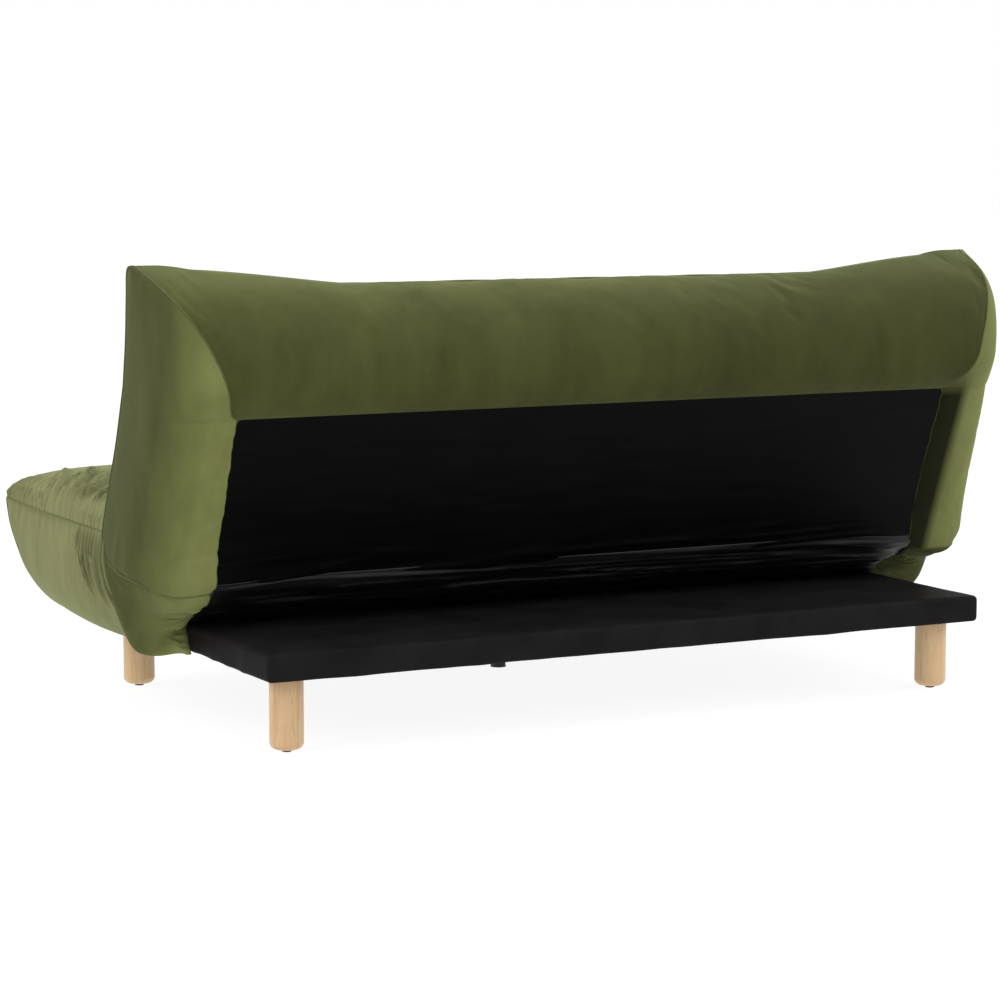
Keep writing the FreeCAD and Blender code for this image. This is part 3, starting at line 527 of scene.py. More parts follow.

# copies of one olive velvet with different base colours, standing in for how light and sheen fall on each part:
# the band and front copy darker, the seat and end copies lighter, the seams' copy between
VELVET = lean_across(velvet("olive_velvet", (0.039, 0.043, 0.012), (0.060, 0.064, 0.019)), 0.78, 1.18)
# painted light, sheen and shade on the ends: each end's strips are lightened or darkened by the tones below
END_VELVET = paint_end_sheen_and_shade(
    velvet("olive_velvet_ends", (0.140, 0.152, 0.048), (0.200, 0.215, 0.078), 0.09),
    left=[(0.68, 1.08), (0.745, 1.02), (0.80, 0.64), (0.845, 0.34), (0.93, 0.30)],
    right=[(0.66, 0.04), (0.755, 0.06), (0.775, 0.72), (0.83, 0.85)],
    right_high=[(0.66, 0.70), (0.85, 0.85)],
    right_low=[(0.60, 0.22), (0.83, 0.25)],
)
SEAT_VELVET = velvet("olive_velvet_seat", (0.120, 0.123, 0.053), (0.165, 0.166, 0.078), 0.25)
SEAM_VELVET = velvet("olive_velvet_seam", (0.07, 0.08, 0.03), (0.11, 0.12, 0.045))
BLACK = nonwoven("black_nonwoven", (0.0008, 0.0006, 0.0006), (0.0016, 0.0013, 0.0013), 0.05)
SLACK = nonwoven("black_slack_cloth", (0.0012, 0.0010, 0.0010), (0.0024, 0.0020, 0.0020), 0.30)
WRAP = nonwoven("black_wrap", (0.0090, 0.0082, 0.0084), (0.0150, 0.0138, 0.0140), 0.01)
BEECH = turned_wood("pale_beech", (0.44, 0.268, 0.126), (0.59, 0.398, 0.212))
PINE = turned_wood("sawn_pine", (0.50, 0.34, 0.17), (0.66, 0.49, 0.28), 12)
PLYWOOD = turned_wood("plywood", (0.45, 0.31, 0.16), (0.60, 0.45, 0.26), 9)
DARK_PLASTIC = plain("dark_plastic", (0.016, 0.013, 0.012), 0.55)
BLACK_STEEL = plain("black_steel", (0.012, 0.012, 0.013), 0.45, 0.3, 300)
ZINC = plain("zinc_steel", (0.52, 0.52, 0.53), 0.35, 1.0, 90)

SLOT_MATERIAL = {
    "green_velvet": VELVET, "black_nonwoven": BLACK, "turned_wood": BEECH, "softwood": PINE,
    "plywood": PLYWOOD, "dark_plastic": DARK_PLASTIC, "holder_plastic": DARK_PLASTIC,
    "black_steel": BLACK_STEEL, "zinc_steel": ZINC, "spring_steel": ZINC,
}


def dress_cad_nodes():
    for row in frame["record"]["subparts"]:
        node = frame["nodes"][row["node"]]
        node.data.materials.clear()
        node.data.materials.append(SLOT_MATERIAL[row["material_slot"]])


# ---------------- the back

PANEL_LINE = [                    # the rear panel's side: how far up the back, and how deep
    (0.028, -0.090), (0.051, -0.098), (0.090, -0.089), (0.140, -0.082), (0.280, -0.080),
    (PANEL_TOP, PANEL_N),
]
GAP_LINE = [                      # the slack cloth from the panel's foot down to the platform: y and z
    (0.2775, 0.2735), (0.240, 0.253), (0.198, 0.236), (0.172, 0.218), (0.138, 0.200), (0.120, 0.1965),
]


def end_curves():
    """The rear edge and the front edge of one end of the back, lower part and upper part."""
    rear_lower = smooth([(PANEL_X, s, n - TUCK) for s, n in PANEL_LINE], LOWER)
    rear_upper = smooth([
        (PANEL_X, PANEL_TOP, PANEL_N - TUCK), (0.811, 0.410, -0.094), (0.833, 0.469, -0.114),
        (0.855, 0.521, -0.088), (0.884, 0.567, -0.041), (0.907, 0.590, 0.010),
        (0.924, 0.600, 0.073), TIP,
    ], UPPER)
    scallop = wander(rear_lower[:, 1] * 48, 4.2, 0.0036) * fade(rear_lower[:, :1].shape, 5, 0)[:, 0]
    rear_lower[:, 0] += scallop
    front_lower = smooth([
        (SIDE_X, 0.0106, 0.094), (SIDE_X - 0.004, 0.046, 0.134), (SIDE_X - 0.009, 0.137, 0.144),
        (SIDE_X - 0.010, 0.24, 0.139), (SIDE_X - 0.010, 0.36, 0.140),
    ], LOWER)
    front_upper = smooth([
        (SIDE_X - 0.010, 0.36, 0.140), (SIDE_X - 0.009, 0.45, 0.156), (SIDE_X - 0.008, 0.53, 0.177),
        (SIDE_X - 0.008, 0.578, 0.190), TIP,
    ], UPPER)
    return rear_lower, rear_upper, front_lower, front_upper


FULLNESS = [                      # how square the end's corner is, by distance up the back
    (0.028, 0.95), (0.109, 0.93), (0.226, 0.78), (0.347, 0.52), (PANEL_TOP, 0.40), (0.43, 0.0),
    (0.46, -0.28), (0.53, -0.30), (0.60, 0.0),
]


def gusset_patch(rear, front, sag):
    """The rounded end of the back, from its rear edge to its front edge. Its low seam sags a little."""
    rise, depth = (front - rear)[:, 1], (front - rear)[:, 2]
    reach = SIDE_X - 0.003 - rear[:, 0]
    full = np.interp(rear[:, 1], *zip(*FULLNESS))
    corner_n = rear[:, 2] - 0.006 - 0.014 * full
    corner_x = rear[:, 0] + (0.92 + 0.24 * full) * reach + 0.012
    corner = np.stack([corner_x, rear[:, 1] + 0.1 * rise, corner_n], 1)
    flank_x = np.maximum(front[:, 0], SIDE_X - 0.006) + 0.008 + 0.015 * full
    flank_n = rear[:, 2] + (0.26 - 0.24 * full) * depth
    flank = np.stack([flank_x, front[:, 1] - 0.2 * rise, flank_n], 1)
    corner, flank = blurred(corner, 9), blurred(flank, 9)
    grid = np.stack([bezier(r, c, k, f, SECTION) for r, c, k, f in zip(rear, corner, flank, front)], 0)
    low_seam = smooth([
        tuple(rear[0]), (0.835, 0.028 - 0.6 * sag, -0.098), (0.872, 0.030 - 0.9 * sag, -0.100),
        (0.903, 0.037 - sag, -0.096), (0.924, 0.045 - sag, -0.084), (0.941, 0.043 - 0.9 * sag, -0.049),
        (0.947, 0.026 - 0.4 * sag, 0.011), tuple(front[0]),
    ], SECTION)
    share = (1 - smoothstep(0, 0.30 * len(rear), np.arange(len(rear))))[:, None, None]
    pinch = (1 - smoothstep(0, 7, np.arange(len(rear))))[:, None, None]
    grid[..., 1] += (low_seam - grid[0])[None, :, 1] * share[..., 0]
    grid += (low_seam - grid[0])[None] * pinch * np.array([1, 0, 1])
    grid[0] = low_seam
    return grid


def blurred(rows, reach):
    """Rows evened out along their length, so the surface between two edges has no step."""
    weights = np.exp(-0.5 * (np.arange(-3 * reach, 3 * reach + 1) / reach) ** 2)
    padded = np.pad(rows, ((3 * reach, 3 * reach), (0, 0)), mode="reflect", reflect_type="odd")
    return np.stack([np.convolve(c, weights / weights.sum(), mode="valid") for c in padded.T], 1)


def ridge(x):
    """The seam along the top of the back, rising to the tips at both ends."""
    share = smoothstep(0.66, 0.90, np.abs(x))
    low = 0.0035 * channels(x)**6 * (np.abs(x) < 0.7)
    return np.stack([x, 0.574 + 0.024 * share - low, 0.118 + 0.045 * share], -1)


def channels(x):
    """0 in the middle of a sewn channel and 1 on the seam between two."""
    return np.abs(np.sin(math.pi * (x / CHANNEL + 0.5)))


def between(ends, middles, across, start):
    """Rows across the sofa that follow the middle line and turn to the end line near the ends."""
    edge = smoothstep(start, 1.0, np.abs(across))[:, None]
    rows = []
    for end, middle in zip(ends, middles):
        row = middle * (1 - edge) + end * edge
        row[:, 0] = across * end[0]
        rows.append(row)
    return np.stack(rows, 0)


def panel_depth(s, x):
    """The rear panel's depth: its foot bellies out beside the ends, and hardly at all between."""
    belly = np.interp(s, [p[0] for p in PANEL_LINE], [p[1] for p in PANEL_LINE])
    flat = PANEL_N - 0.001
    return flat + (belly - flat) * (0.1 + 0.9 * smoothstep(0.60, 0.78, np.abs(x)))


def band_folds():
    """Soft puckers of the top band along its seams with the ends."""
    dice = np.random.default_rng(11)
    folds = []
    for share in np.linspace(0.12, 0.80, 11):
        s, n, x = 0.40 + 0.19 * share, -0.10 + 0.13 * share**2, 0.80 + 0.115 * share
        reach = 0.03 + 0.05 * dice.random()
        line = [(x, s, n), (x - reach, s + 0.008 * dice.normal(), n)]
        folds.append((line, 0.0010 + 0.0010 * dice.random(), 0.007))
    for x in np.arange(-0.76, 0.78, 0.085):
        reach = 0.02 + 0.03 * dice.random()
        at = x + 0.03 * dice.normal()
        line = [(at, 0.397, -0.084), (at + 0.01, 0.40 + reach, -0.095)]
        folds.append((line, 0.0006 * dice.random(), 0.010))
    return folds


def gusset_folds():
    """Puckers where the end panel is stapled beside the rear panel, and above the low seam."""
    dice = np.random.default_rng(5)
    folds = []
    for s in np.arange(0.05, 0.39, 0.021):
        at = s + 0.006 * dice.normal()
        reach = 0.012 + 0.022 * dice.random()
        line = [(PANEL_X, at, -0.085), (PANEL_X + reach, at + 0.01 * dice.normal(), -0.088)]
        folds.append((line, 0.0010 + 0.0012 * dice.random(), 0.0055))
    folds.append(([(0.932, 0.012, 0.05), (0.945, 0.052, 0.02), (0.948, 0.13, 0.03)], 0.0022, 0.014))
    folds.append(([(0.90, 0.02, -0.03), (0.93, 0.07, -0.03), (0.94, 0.12, -0.01)], 0.0018, 0.014))
    return folds


def build_back():
    rear_lower, rear_upper, front_lower, front_upper = end_curves()
    rear = np.vstack([rear_lower, rear_upper[1:]])
    front = np.vstack([front_lower, front_upper[1:]])
    across = spread(ACROSS)

    ends = []
    for sag in (0.0, 0.030):
        end = gusset_patch(rear, front, sag)
        end[:, 0], end[:, -1] = rear, front
        ends.append(end)
    left_end, right_end = ends[0], mirrored(ends[1])

    middle_rise = smooth([
        (0, PANEL_TOP, PANEL_N - TUCK), (0, 0.411, -0.093), (0, 0.462, -0.105), (0, 0.515, -0.080),
        (0, 0.553, -0.032), (0, 0.574, 0.038), (0, 0.574, 0.118),
    ], UPPER)
    band = between(rear_upper, middle_rise, across, 0.45)
    band[-1] = ridge(band[-1, :, 0])
    settle_in = smoothstep(UPPER - 12, UPPER, np.arange(UPPER + 1))[:, None]
    kept = fade(band.shape, 3, 5)
    wave = np.array([[noise.noise(Vector((p[0] * 5, p[1] * 9, 2.2))) for p in row] for row in band])
    band += outward(band, np.array([0, 0.45, 0.05])) * (wave * 0.0035 * kept * (1 - settle_in))[..., None]

    middle_front = smooth([
        (0, 0.0106, 0.094), (0, 0.049, 0.141), (0, 0.15, 0.156), (0, 0.30, 0.160),
        (0, 0.45, 0.162), (0, 0.535, 0.155), (0, 0.566, 0.139), (0, 0.574, 0.118),
    ], LOWER + UPPER)
    face = between(front, middle_front, across, 0.72)
    face[-1] = ridge(face[-1, :, 0])
    puff = (1 - channels(face[..., 0])**0.7) * 0.022
    face[..., 2] += (puff - 0.010) * fade(face.shape, 18, 22)

    hidden = between(rear_lower, rear_lower, across, 0.9)
    sunk = smoothstep(0, 3, np.arange(LOWER + 1)[::-1])[:, None]
    hidden[..., 2] += 0.022 * smoothstep(0, 0.02, 1 - np.abs(across))[None, :] * sunk

    middle_end = smooth([
        (0, 0.028, -0.066), (0, 0.004, -0.040), (0, -0.026, 0.0), (0, -0.022, 0.055), (0, 0.0106, 0.094),
    ], SECTION)
    lower_end = between(left_end[0], middle_end, across, 0.90)
    lower_end[:, :, 1] += 0.012 * fade(lower_end.shape, 6, 3)
    lower_end[0], lower_end[-1] = hidden[0], face[0]
    lower_end[:, 0], lower_end[:, -1] = right_end[0], left_end[0]

    patches = [band, face, hidden, lower_end, left_end, right_end]
    end_slots = [int(p is left_end or p is right_end) for p in patches]
    upholstery = mesh_from("back_upholstery", [stood(p) for p in patches], VELVET, slots=end_slots)
    upholstery.data.materials.append(END_VELVET)
    seams = [stood(way(line)) for way in (np.array, mirrored) for line in (rear, front)]
    seams += [stood(left_end[0]), stood(right_end[0])]
    seams += [stood(band[0]), stood(band[-1])]
    inner = [stood(row) for row in (*hidden, *lower_end)]
    held = near_lines(upholstery, seams + inner, ON_SEAM)
    settle(upholstery, held, 1.2, 0.002, 0.0045)
    folds = band_folds() + gusset_folds()
    folds += mirrored_folds(folds)
    pleat(upholstery, [(stood(np.array(line)), h, w) for line, h, w in folds], seams)
    low_seams = [seam[SECTION // 3:] for seam in seams[4:6]]
    crisp(upholstery, [seams[0], seams[2], *low_seams, *seams[6:]])
    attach(upholstery, "back")
    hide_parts("back_cushion", "back_left_wing", "back_right_wing", "back_top_band")

    for side, way, end in (("left", np.array, left_end), ("right", mirrored, right_end)):
        low_path = end[0, SECTION * 2 // 5:]
        for name, path in (
            ("rear_seam", way(rear_upper)), ("edge_seam", way(front)), ("low_seam", low_path),
        ):
            piping(f"back_{side}_{name}", stood(path), PIPING, "back")
    return left_end[0], right_end[0]


def build_panel():
    """The black cloth stapled over the rear of the back frame."""
    rows, cols = 90, 300
    t = np.linspace(0, 1, rows + 1)[:, None]
    x = spread(cols)[None, :] * (PANEL_X + PANEL_TURN)
    s = PANEL_FOOT + t * (PANEL_TOP + PANEL_LAP - PANEL_FOOT)
    grid = np.stack(np.broadcast_arrays(x, s, panel_depth(s, x)), -1).copy()
    low = smoothstep(0.26, 0.03, t[:, 0])
    for i in range(rows + 1):
        for j in range(cols + 1):
            px, ps = grid[i, j, 0], grid[i, j, 1]
            long_wave = noise.noise(Vector((px * 2.4, ps * 26, 3.1)))
            sharp = 1 - abs(noise.noise(Vector((px * 1.7, ps * 34 + px * 1.5, 8.8)))) * 2
            fine = noise.noise(Vector((px * 9, ps * 50, 9.4)))
            grid[i, j, 2] -= low[i] * (0.0018 * long_wave + 0.0035 * max(0, sharp)**3 + 0.001 * fine)
            grid[i, j, 2] -= 0.0006 * (1 + fine) * (1 - low[i])
    edge = fade(grid.shape, 4, 6)
    flat = panel_depth(grid[..., 1], grid[..., 0])
    grid[..., 2] = flat + (grid[..., 2] - flat) * edge
    panel = mesh_from("rear_panel", [stood(grid)], BLACK)
    thicken(panel, CLOTH)
    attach(panel, "back")
    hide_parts("back_panel_cover")


def thicken(piece, thickness, inside=None):
    """Gives a sheet its thickness: half to each side, or all of it towards a place inside."""
    modifier = piece.modifiers.new("thickness", "SOLIDIFY")
    modifier.thickness = thickness
    modifier.offset = 0
    if inside is not None:
        facing = sum((f.center - Vector(inside)).dot(f.normal) for f in piece.data.polygons)
        modifier.offset = -1 if facing > 0 else 1
    apply_modifiers(piece)


def apply_modifiers(piece):
    depsgraph = bpy.context.evaluated_depsgraph_get()
    mesh = bpy.data.meshes.new_from_object(piece.evaluated_get(depsgraph))
    piece.modifiers.clear()
    piece.data = mesh


def build_gap_cloth():
    """The slack black cloth from the foot of the rear panel down to the platform."""
    rows, cols = 70, 300
    margin = 0.004                # how far it runs on under the ends
    foot = stood(np.array([[0, HINGE_LINE, -0.0985]]))[0]
    path = smooth([(0, foot[1], foot[2]), *[(0, y, z) for y, z in GAP_LINE]], rows)
    x = spread(cols) * (PANEL_X + margin)
    grid = np.stack([np.stack([x, np.full_like(x, p[1]), np.full_like(x, p[2])], 1) for p in path], 0)
    hem = stood(np.stack([x, np.full_like(x, HINGE_LINE), panel_depth(HINGE_LINE, x) - CLOTH / 2], 1))
    release = 1 - smoothstep(0, 0.5, np.linspace(0, 1, rows + 1))[:, None, None]
    grid += (hem - grid[0])[None] * release
    out = outward(grid, np.array([0, 0.1, 0.32]))
    loose = 0.25 + 0.75 * smoothstep(1.0, 0.94, np.abs(x) / PANEL_X)
    for i in range(rows + 1):
        t = i / rows
        hang = math.sin(math.pi * min(1, t * 1.1))**0.8 if t < 0.9 else 0.0
        for j in range(cols + 1):
            px = x[j]
            wide = noise.noise(Vector((px * 2.1, t * 4.5, 1.7))) * 0.010
            sharp = max(0, 1 - 2.6 * abs(noise.noise(Vector((px * 1.9, t * 9 + px, 6.1)))))**3 * 0.010
            fine = noise.noise(Vector((px * 11, t * 14, 5))) * 0.0022
            grid[i, j] += out[i, j] * (wide + sharp + fine) * hang * loose[j]
    cloth = mesh_from("hinge_gap_cloth", [grid], SLACK)
    thicken(cloth, CLOTH)
    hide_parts("gap_cloth")
    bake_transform(cloth)


# ---------------- the seat

def seat_corner():
    """The seam down the front corner of the seat, from its tip to the platform."""
    return smooth([
        (0.936, NOSE_Y, SEAM_Z), (SIDE_X - 0.002, -0.490, 0.335), (SIDE_X - 0.003, -0.448, 0.291),
        (0.938, -0.405, 0.250), (0.922, -0.366, 0.212), (0.893, -0.348, 0.182), (0.850, -0.352, 0.160),
        (BASE_X + 0.004, -0.372, BASE_LOW),
    ], DROP)


def seat_rear_edge():
    return smooth([
        (SIDE_X - 0.008, 0.104, SEAM_Z - 0.006), (SIDE_X - 0.006, 0.108, 0.330),
        (SIDE_X - 0.010, 0.135, 0.253), (0.910, 0.146, 0.192), (0.875, 0.135, 0.166),
        (BASE_X + 0.004, 0.125, BASE_LOW),
    ], DROP)


def crown(distance):
    """How much of its full height the seat's top has reached at a distance from its seam."""
    share = np.clip(distance / 0.20, 0, 1)
    return 0.5 * (1 - (1 - share)**14) + 0.5 * (1 - (1 - share)**2.2)


def seat_folds():
    """The gathers of the seat's top along its end seam, and the pleats below it beside the back."""
    dice = np.random.default_rng(23)
    top, side = [], []
    for y in np.arange(-0.525, -0.25, 0.0115):
        at = y + 0.002 * dice.normal()
        reach = 0.030 + 0.035 * dice.random()
        path = [(SIDE_X, at, 0.386), (SIDE_X - 0.5 * reach, at - 0.2 * reach, 0.400),
                (SIDE_X - reach, at - 0.5 * reach, 0.416)]
        top.append((path, 0.0065 + 0.0030 * dice.random(), 0.0040))
    for y in np.arange(-0.25, 0.10, 0.0120):
        at = y + 0.0025 * dice.normal()
        nearness = smoothstep(-0.25, -0.05, at)
        reach = 0.06 + 0.07 * nearness + 0.05 * dice.random()
        lean = 1.5 - 1.0 * smoothstep(-0.12, 0.05, at) + 0.2 * dice.normal()
        path = [(SIDE_X, at, 0.392), (SIDE_X - 0.4 * reach, at - 0.3 * reach * lean, 0.425),
                (SIDE_X - reach, at - reach * lean, 0.442)]
        top.append((path, 0.0060 + 0.0045 * nearness * (0.5 + dice.random()), 0.0038))
    for y in (-0.066, -0.053, -0.036, -0.020, -0.003, 0.014, 0.031, 0.050, 0.068, 0.086):
        at = y + 0.0015 * dice.normal()
        drop = 0.06 + 0.08 * dice.random() + 0.35 * (y + 0.05)
        path = [(SIDE_X, at, 0.381), (SIDE_X, at + 0.012, 0.381 - 0.4 * drop),
                (SIDE_X, at + 0.30 * drop + 0.012, 0.381 - drop)]
        side.append((path, 0.0090 + 0.004 * dice.random(), 0.0040))
    for y in np.arange(-0.50, -0.08, 0.045):
        at = y + 0.01 * dice.normal()
        side.append(([(SIDE_X, at, 0.383), (SIDE_X, at + 0.012, 0.340)], 0.0012, 0.010))
    return top + side


def mirrored_folds(folds):
    return [(mirrored(np.array(line)), height, width) for line, height, width in folds]


def build_seat():
    corner, rear = seat_corner(), seat_rear_edge()
    along = np.r_[np.linspace(0, 0.42, 100), np.linspace(0.42, 1.0, 191)[1:]]
    side = np.stack([corner * (1 - t) + rear * t for t in along], 0)
    bulge = np.sin(math.pi * along)[:, None] * np.sin(math.pi * np.linspace(0, 1, DROP + 1))[None, :]
    side[..., 0] += 0.010 * bulge
    side[:, 0, 0] += 0.006 * np.sin(math.pi * np.clip(along * 1.2, 0, 1))
    side[..., 2] -= 0.010 * bulge * smoothstep(0.5, 0.9, np.linspace(0, 1, DROP + 1))[None, :]

    across = spread(SEAT_ACROSS)
    top = []
    for j, t in enumerate(along):
        edge = side[j, 0]
        x = across * edge[0]
        full = crown(edge[0] - np.abs(x)) * crown(edge[1] - NOSE_Y) * (1 - 0.25 * smoothstep(0.90, 1.0, t))
        z = edge[2] + (CROWN_Z + 0.004 - SEAM_Z) * full**0.75
        top.append(np.stack([x, np.full_like(x, edge[1]), z], 1))
    top = np.stack(top, 0)
    puff = (1 - channels(top[..., 0])**0.7) * 0.012 - 0.005
    top[..., 2] += puff * fade(top.shape, 16, 50)

    apron = smooth([
        (0, NOSE_Y, SEAM_Z), (0, -0.504, 0.335), (0, -0.472, 0.291), (0, -0.450, 0.250), (0, -0.437, 0.212),
        (0, -0.430, 0.182), (0, -0.412, 0.160), (0, -0.392, BASE_LOW),
    ], DROP)
    front = between(corner, apron, across, 0.86)
    front[0, :, 2] = SEAM_Z
    front[..., 1] -= 0.008 * fade(front.shape, 14, 16)

    back_wall = np.stack([
        np.stack([across * r[0], np.full_like(across, r[1]), np.full_like(across, r[2])], 1) for r in rear
    ], 0)
    back_wall[..., 1] -= 0.03 * fade(back_wall.shape, 8, 8)
    back_wall[0] = top[-1]

    floor = np.stack([front[-1] * (1 - t) + back_wall[-1] * t for t in along], 0)
    floor[..., 2] += 0.02 * fade(floor.shape, 3, 3)
    floor[:, 0], floor[:, -1] = mirrored(side[:, -1]), side[:, -1]
    patches = [top, front, back_wall, floor, side, mirrored(side)]
    upholstery = mesh_from("seat_upholstery", patches, SEAT_VELVET)
    seams = [way(line) for way in (np.array, mirrored) for line in (side[:, 0], corner, rear, side[:, -1])]
    seams += [front[0], front[-1], back_wall[-1], back_wall[0]]
    held = near_lines(upholstery, seams, ON_SEAM)
    settle(upholstery, held, 1.5, 0.003, 0.003)
    folds = seat_folds()
    pleat(upholstery, folds + mirrored_folds(folds), seams)
    crisp(upholstery, [seams[0], seams[1], seams[4], seams[5], front[0]])
    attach(upholstery, "base")
    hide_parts("seat_cushion", "seat_left_skirt", "seat_right_skirt", "seat_front_apron")

    for name, way in (("left", np.array), ("right", mirrored)):
        for label, path in (("top_seam", side[:, 0]), ("corner_seam", corner)):
            piping(f"seat_{name}_{label}", way(path), SEAT_PIPING, "base")
    piping("seat_nose_seam", front[0], SEAT_PIPING, "base")


def lobe_folds():
    """Puckers of the hinge gusset: beside the gap cloth, under the low seam and at its front point."""
    dice = np.random.default_rng(3)
    folds = []
    for y, z, reach in ((0.232, 0.246, 0.05), (0.212, 0.236, 0.075), (0.193, 0.226, 0.085),
                        (0.176, 0.214, 0.070), (0.160, 0.205, 0.045)):
        line = [(PANEL_X + 0.003, y, z), (PANEL_X + 0.4 * reach, y + 0.006, z - 0.004),
                (PANEL_X + reach, y - 0.010, z + 0.004 * dice.normal())]
        folds.append((line, 0.0085 + 0.003 * dice.random(), 0.0046))
    for y, z, reach in ((0.128, 0.188, 0.040), (0.138, 0.176, 0.060),
                        (0.148, 0.163, 0.050), (0.152, 0.152, 0.040)):
        line = [(BASE_X + 0.004, y, z), (BASE_X + 0.4 * reach, y - 0.004, z - 0.002),
                (BASE_X + reach, y - 0.02, z + 0.012)]
        folds.append((line, 0.0050, 0.0045))
    folds.append(([(0.945, 0.105, 0.318), (0.943, 0.130, 0.292), (0.935, 0.150, 0.262)], 0.0050, 0.0045))
    folds.append(([(0.946, 0.112, 0.318), (0.944, 0.155, 0.298), (0.935, 0.19, 0.280)], 0.0042, 0.0040))
    folds.append(([(0.945, 0.098, 0.31), (0.943, 0.113, 0.27), (0.936, 0.128, 0.225)], 0.0045, 0.0048))
    folds.append(([(0.946, 0.104, 0.305), (0.943, 0.135, 0.268), (0.930, 0.15, 0.235)], 0.0040, 0.0042))
    return folds


def build_lobe(name, way, low_seam):
    """The soft end panel below the back's low seam, stapled round the platform's side."""
    top = way(stood(low_seam))
    rear = smooth([
        tuple(top[0]), *[(PANEL_X, y, z) for y, z in GAP_LINE[1:4]], (BASE_X + 0.003, 0.134, 0.196),
        (BASE_X + 0.003, 0.140, 0.176), (BASE_X + 0.003, 0.148, 0.158), (BASE_X + 0.003, 0.156, 0.142),
    ], LOBE)
    front = smooth([
        tuple(top[-1]), (SIDE_X - 0.002, 0.103, 0.29), (SIDE_X - 0.004, 0.120, 0.253), (0.921, 0.130, 0.190),
        (0.895, 0.120, 0.152), (0.85, 0.108, 0.137), (BASE_X + 0.006, 0.108, 0.140),
    ], LOBE)
    rows = [top]
    for m in range(1, LOBE + 1):
        r, f = rear[m], front[m]
        share = m / LOBE
        reach = max(f[0] - r[0], 0.012)
        swell = math.sin(math.pi * min(1, 0.15 + 0.85 * share))
        first_y = 0.004 * (1 - share) + 0.004 * swell
        first = r + np.array([0.55 * reach + 0.006, first_y, -0.020 * swell - 0.004])
        second = f + np.array([0.002 + 0.004 * swell, 0.060 * (1 - share) + 0.015, -0.014 * swell])
        rows.append(bezier(r, first, second, f, SECTION))
    grid = np.stack(rows, 0)
    hung = grid[0][None] + (rear - rear[0])[:, None] * 0.5 + (front - front[0])[:, None] * 0.5
    blend_in = (1 - smoothstep(0, 26, np.arange(LOBE + 1)))[:, None, None]
    grid = grid * (1 - 0.75 * blend_in) + hung * 0.75 * blend_in
    grid[:, 0], grid[:, -1] = rear, front
    grid[0] = top
    inside = np.array([0.80, 0.10, 0.27])
    folded = add_folds(grid, inside, lobe_folds())
    grid += (folded - grid) * fade(grid.shape, 5, 3)[..., None]
    lobe = mesh_from(f"{name}_hinge_gusset", [way(grid)], END_VELVET)
    thicken(lobe, 0.0025, way(inside))
    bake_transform(lobe)


# ---------------- the platform

def on_hem(place, low, high, hem):
    """Whether a place under the platform is on the strip of cloth turned in along its edges."""
    from_side = min(place.x - low.x, high.x - place.x, place.y - low.y, high.y - place.y)
    return from_side < hem


def build_platform():
    """The black cloth stretched round the platform, soft at its edges and slightly creased."""
    slack = 0.0026                # how far the cloth stands off the board
    hem = 0.03
    low, high = platform_low - Vector((slack,) * 3), platform_high + Vector((slack,) * 3)
    bm = bmesh.new()
    bmesh.ops.create_cube(bm, size=1)
    bmesh.ops.scale(bm, vec=high - low, verts=bm.verts)
    bmesh.ops.translate(bm, vec=(high + low) / 2, verts=bm.verts)
    bmesh.ops.bevel(bm, geom=list(bm.edges), offset=0.009, segments=5, profile=0.5, affect="EDGES")
    long_edges = [e for e in bm.edges if e.calc_length() > 0.5]
    bmesh.ops.subdivide_edges(bm, edges=long_edges, cuts=150, use_grid_fill=True)
    bm.normal_update()
    for v in bm.verts:
        p = v.co
        wave = noise.noise(Vector((p.x * 4, p.y * 4, p.z * 24)))
        dent = noise.noise(Vector((p.x * 15, p.y * 15, p.z * 40 + 4)))
        run = noise.noise(Vector((p.x * 2.1 + p.y, p.y * 7 - p.x, 2 + p.z * 9)))
        crease = max(0, 1 - 3 * abs(run))**3
        v.co += v.normal * (0.0011 * wave + 0.0006 * dent + 0.0016 * crease)
    inner = [
        f for f in bm.faces if f.normal.z < -0.9 and not on_hem(f.calc_center_median(), low, high, hem)
    ]
    bmesh.ops.delete(bm, geom=inner, context="FACES")
    wrap = finish_mesh("platform_wrap", bm, WRAP)
    thicken(wrap, 0.0008)
    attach(wrap, "base")
    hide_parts("base_top_cover")


# ---------------- stage

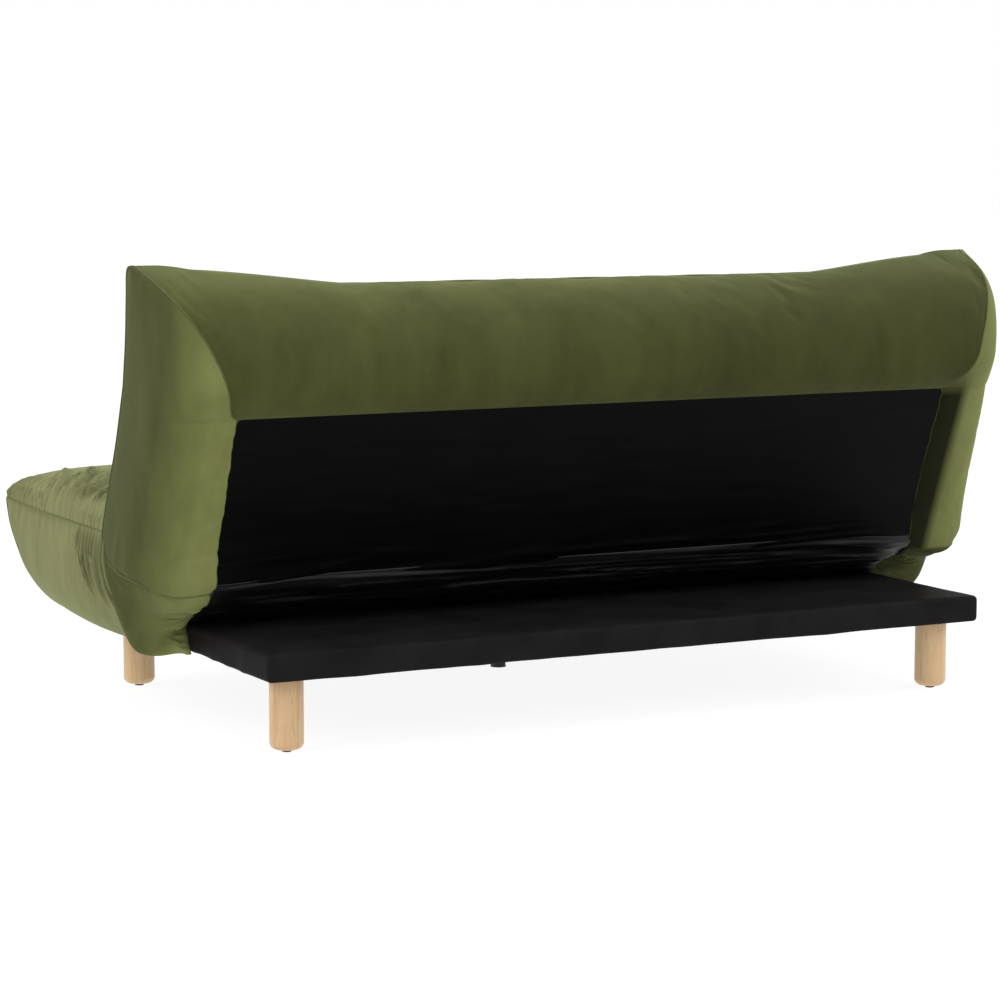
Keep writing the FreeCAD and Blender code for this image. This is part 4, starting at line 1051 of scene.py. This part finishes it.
def build_stage():
    floor_mesh = bpy.data.meshes.new("floor")
    reach = 30
    floor_mesh.from_pydata(
        [(-reach, -reach, 0), (reach, -reach, 0), (reach, reach, 0), (-reach, reach, 0)], [], [(0, 1, 2, 3)]
    )
    floor = bpy.data.objects.new("floor", floor_mesh)
    bpy.context.scene.collection.objects.link(floor)
    material, _, shader, _ = new_material("pale_floor")
    shader.inputs["Base Color"].default_value = (0.16, 0.16, 0.16, 1)
    shader.inputs["Roughness"].default_value = 1.0
    shader.inputs["Specular IOR Level"].default_value = 0.0
    shader.inputs["Emission Color"].default_value = (1, 1, 1, 1)
    shader.inputs["Emission Strength"].default_value = 0.905
    floor.data.materials.append(material)

    world = bpy.data.worlds.new("studio")
    bpy.context.scene.world = world
    world.use_nodes = True
    background = world.node_tree.nodes["Background"]
    background.inputs["Color"].default_value = (1, 1, 1, 1)
    background.inputs["Strength"].default_value = 1.0
    bpy.context.scene.view_settings.view_transform = "Standard"
    for name, place, aim, power, size in (
        ("key", (5.0, 0.5, 3.2), (0.5, 0, 0.4), 110, 2.5),
        ("fill", (-5.0, 1.0, 2.6), (-0.5, 0.2, 0.5), 90, 2.5),
        ("top", (0, -1.2, 5.0), (0, 0, 0.5), 90, 3.0),
        ("rear", (-3.0, 6.0, 4.0), (0, 0.2, 0.3), 70, 1.2),
    ):
        light = bpy.data.lights.new(name, "AREA")
        light.energy = power
        light.size = size
        lamp = bpy.data.objects.new(name, light)
        lamp.location = place
        lamp.rotation_euler = (Vector(aim) - Vector(place)).to_track_quat("-Z", "Y").to_euler()
        bpy.context.scene.collection.objects.link(lamp)


def build_camera():
    """A long lens behind the sofa's left end, level and looking slightly down."""
    camera = bpy.data.cameras.new("camera")
    camera.lens = 108.0
    camera.sensor_width = 36.0
    camera.clip_end = 200
    eye = bpy.data.objects.new("camera", camera)
    eye.location = (2.894, 5.5265, 1.124)
    yaw, pitch = math.radians(27.310), math.radians(6.777)
    ahead = Vector((-math.sin(yaw) * math.cos(pitch), -math.cos(yaw) * math.cos(pitch), -math.sin(pitch)))
    eye.rotation_euler = ahead.to_track_quat("-Z", "Y").to_euler()
    bpy.context.scene.collection.objects.link(eye)
    bpy.context.scene.camera = eye


build_camera()
build_stage()
dress_cad_nodes()
left_low_seam, right_low_seam = build_back()
build_panel()
build_gap_cloth()
build_seat()
build_lobe("left", np.array, left_low_seam)
build_lobe("right", mirrored, right_low_seam)
build_platform()
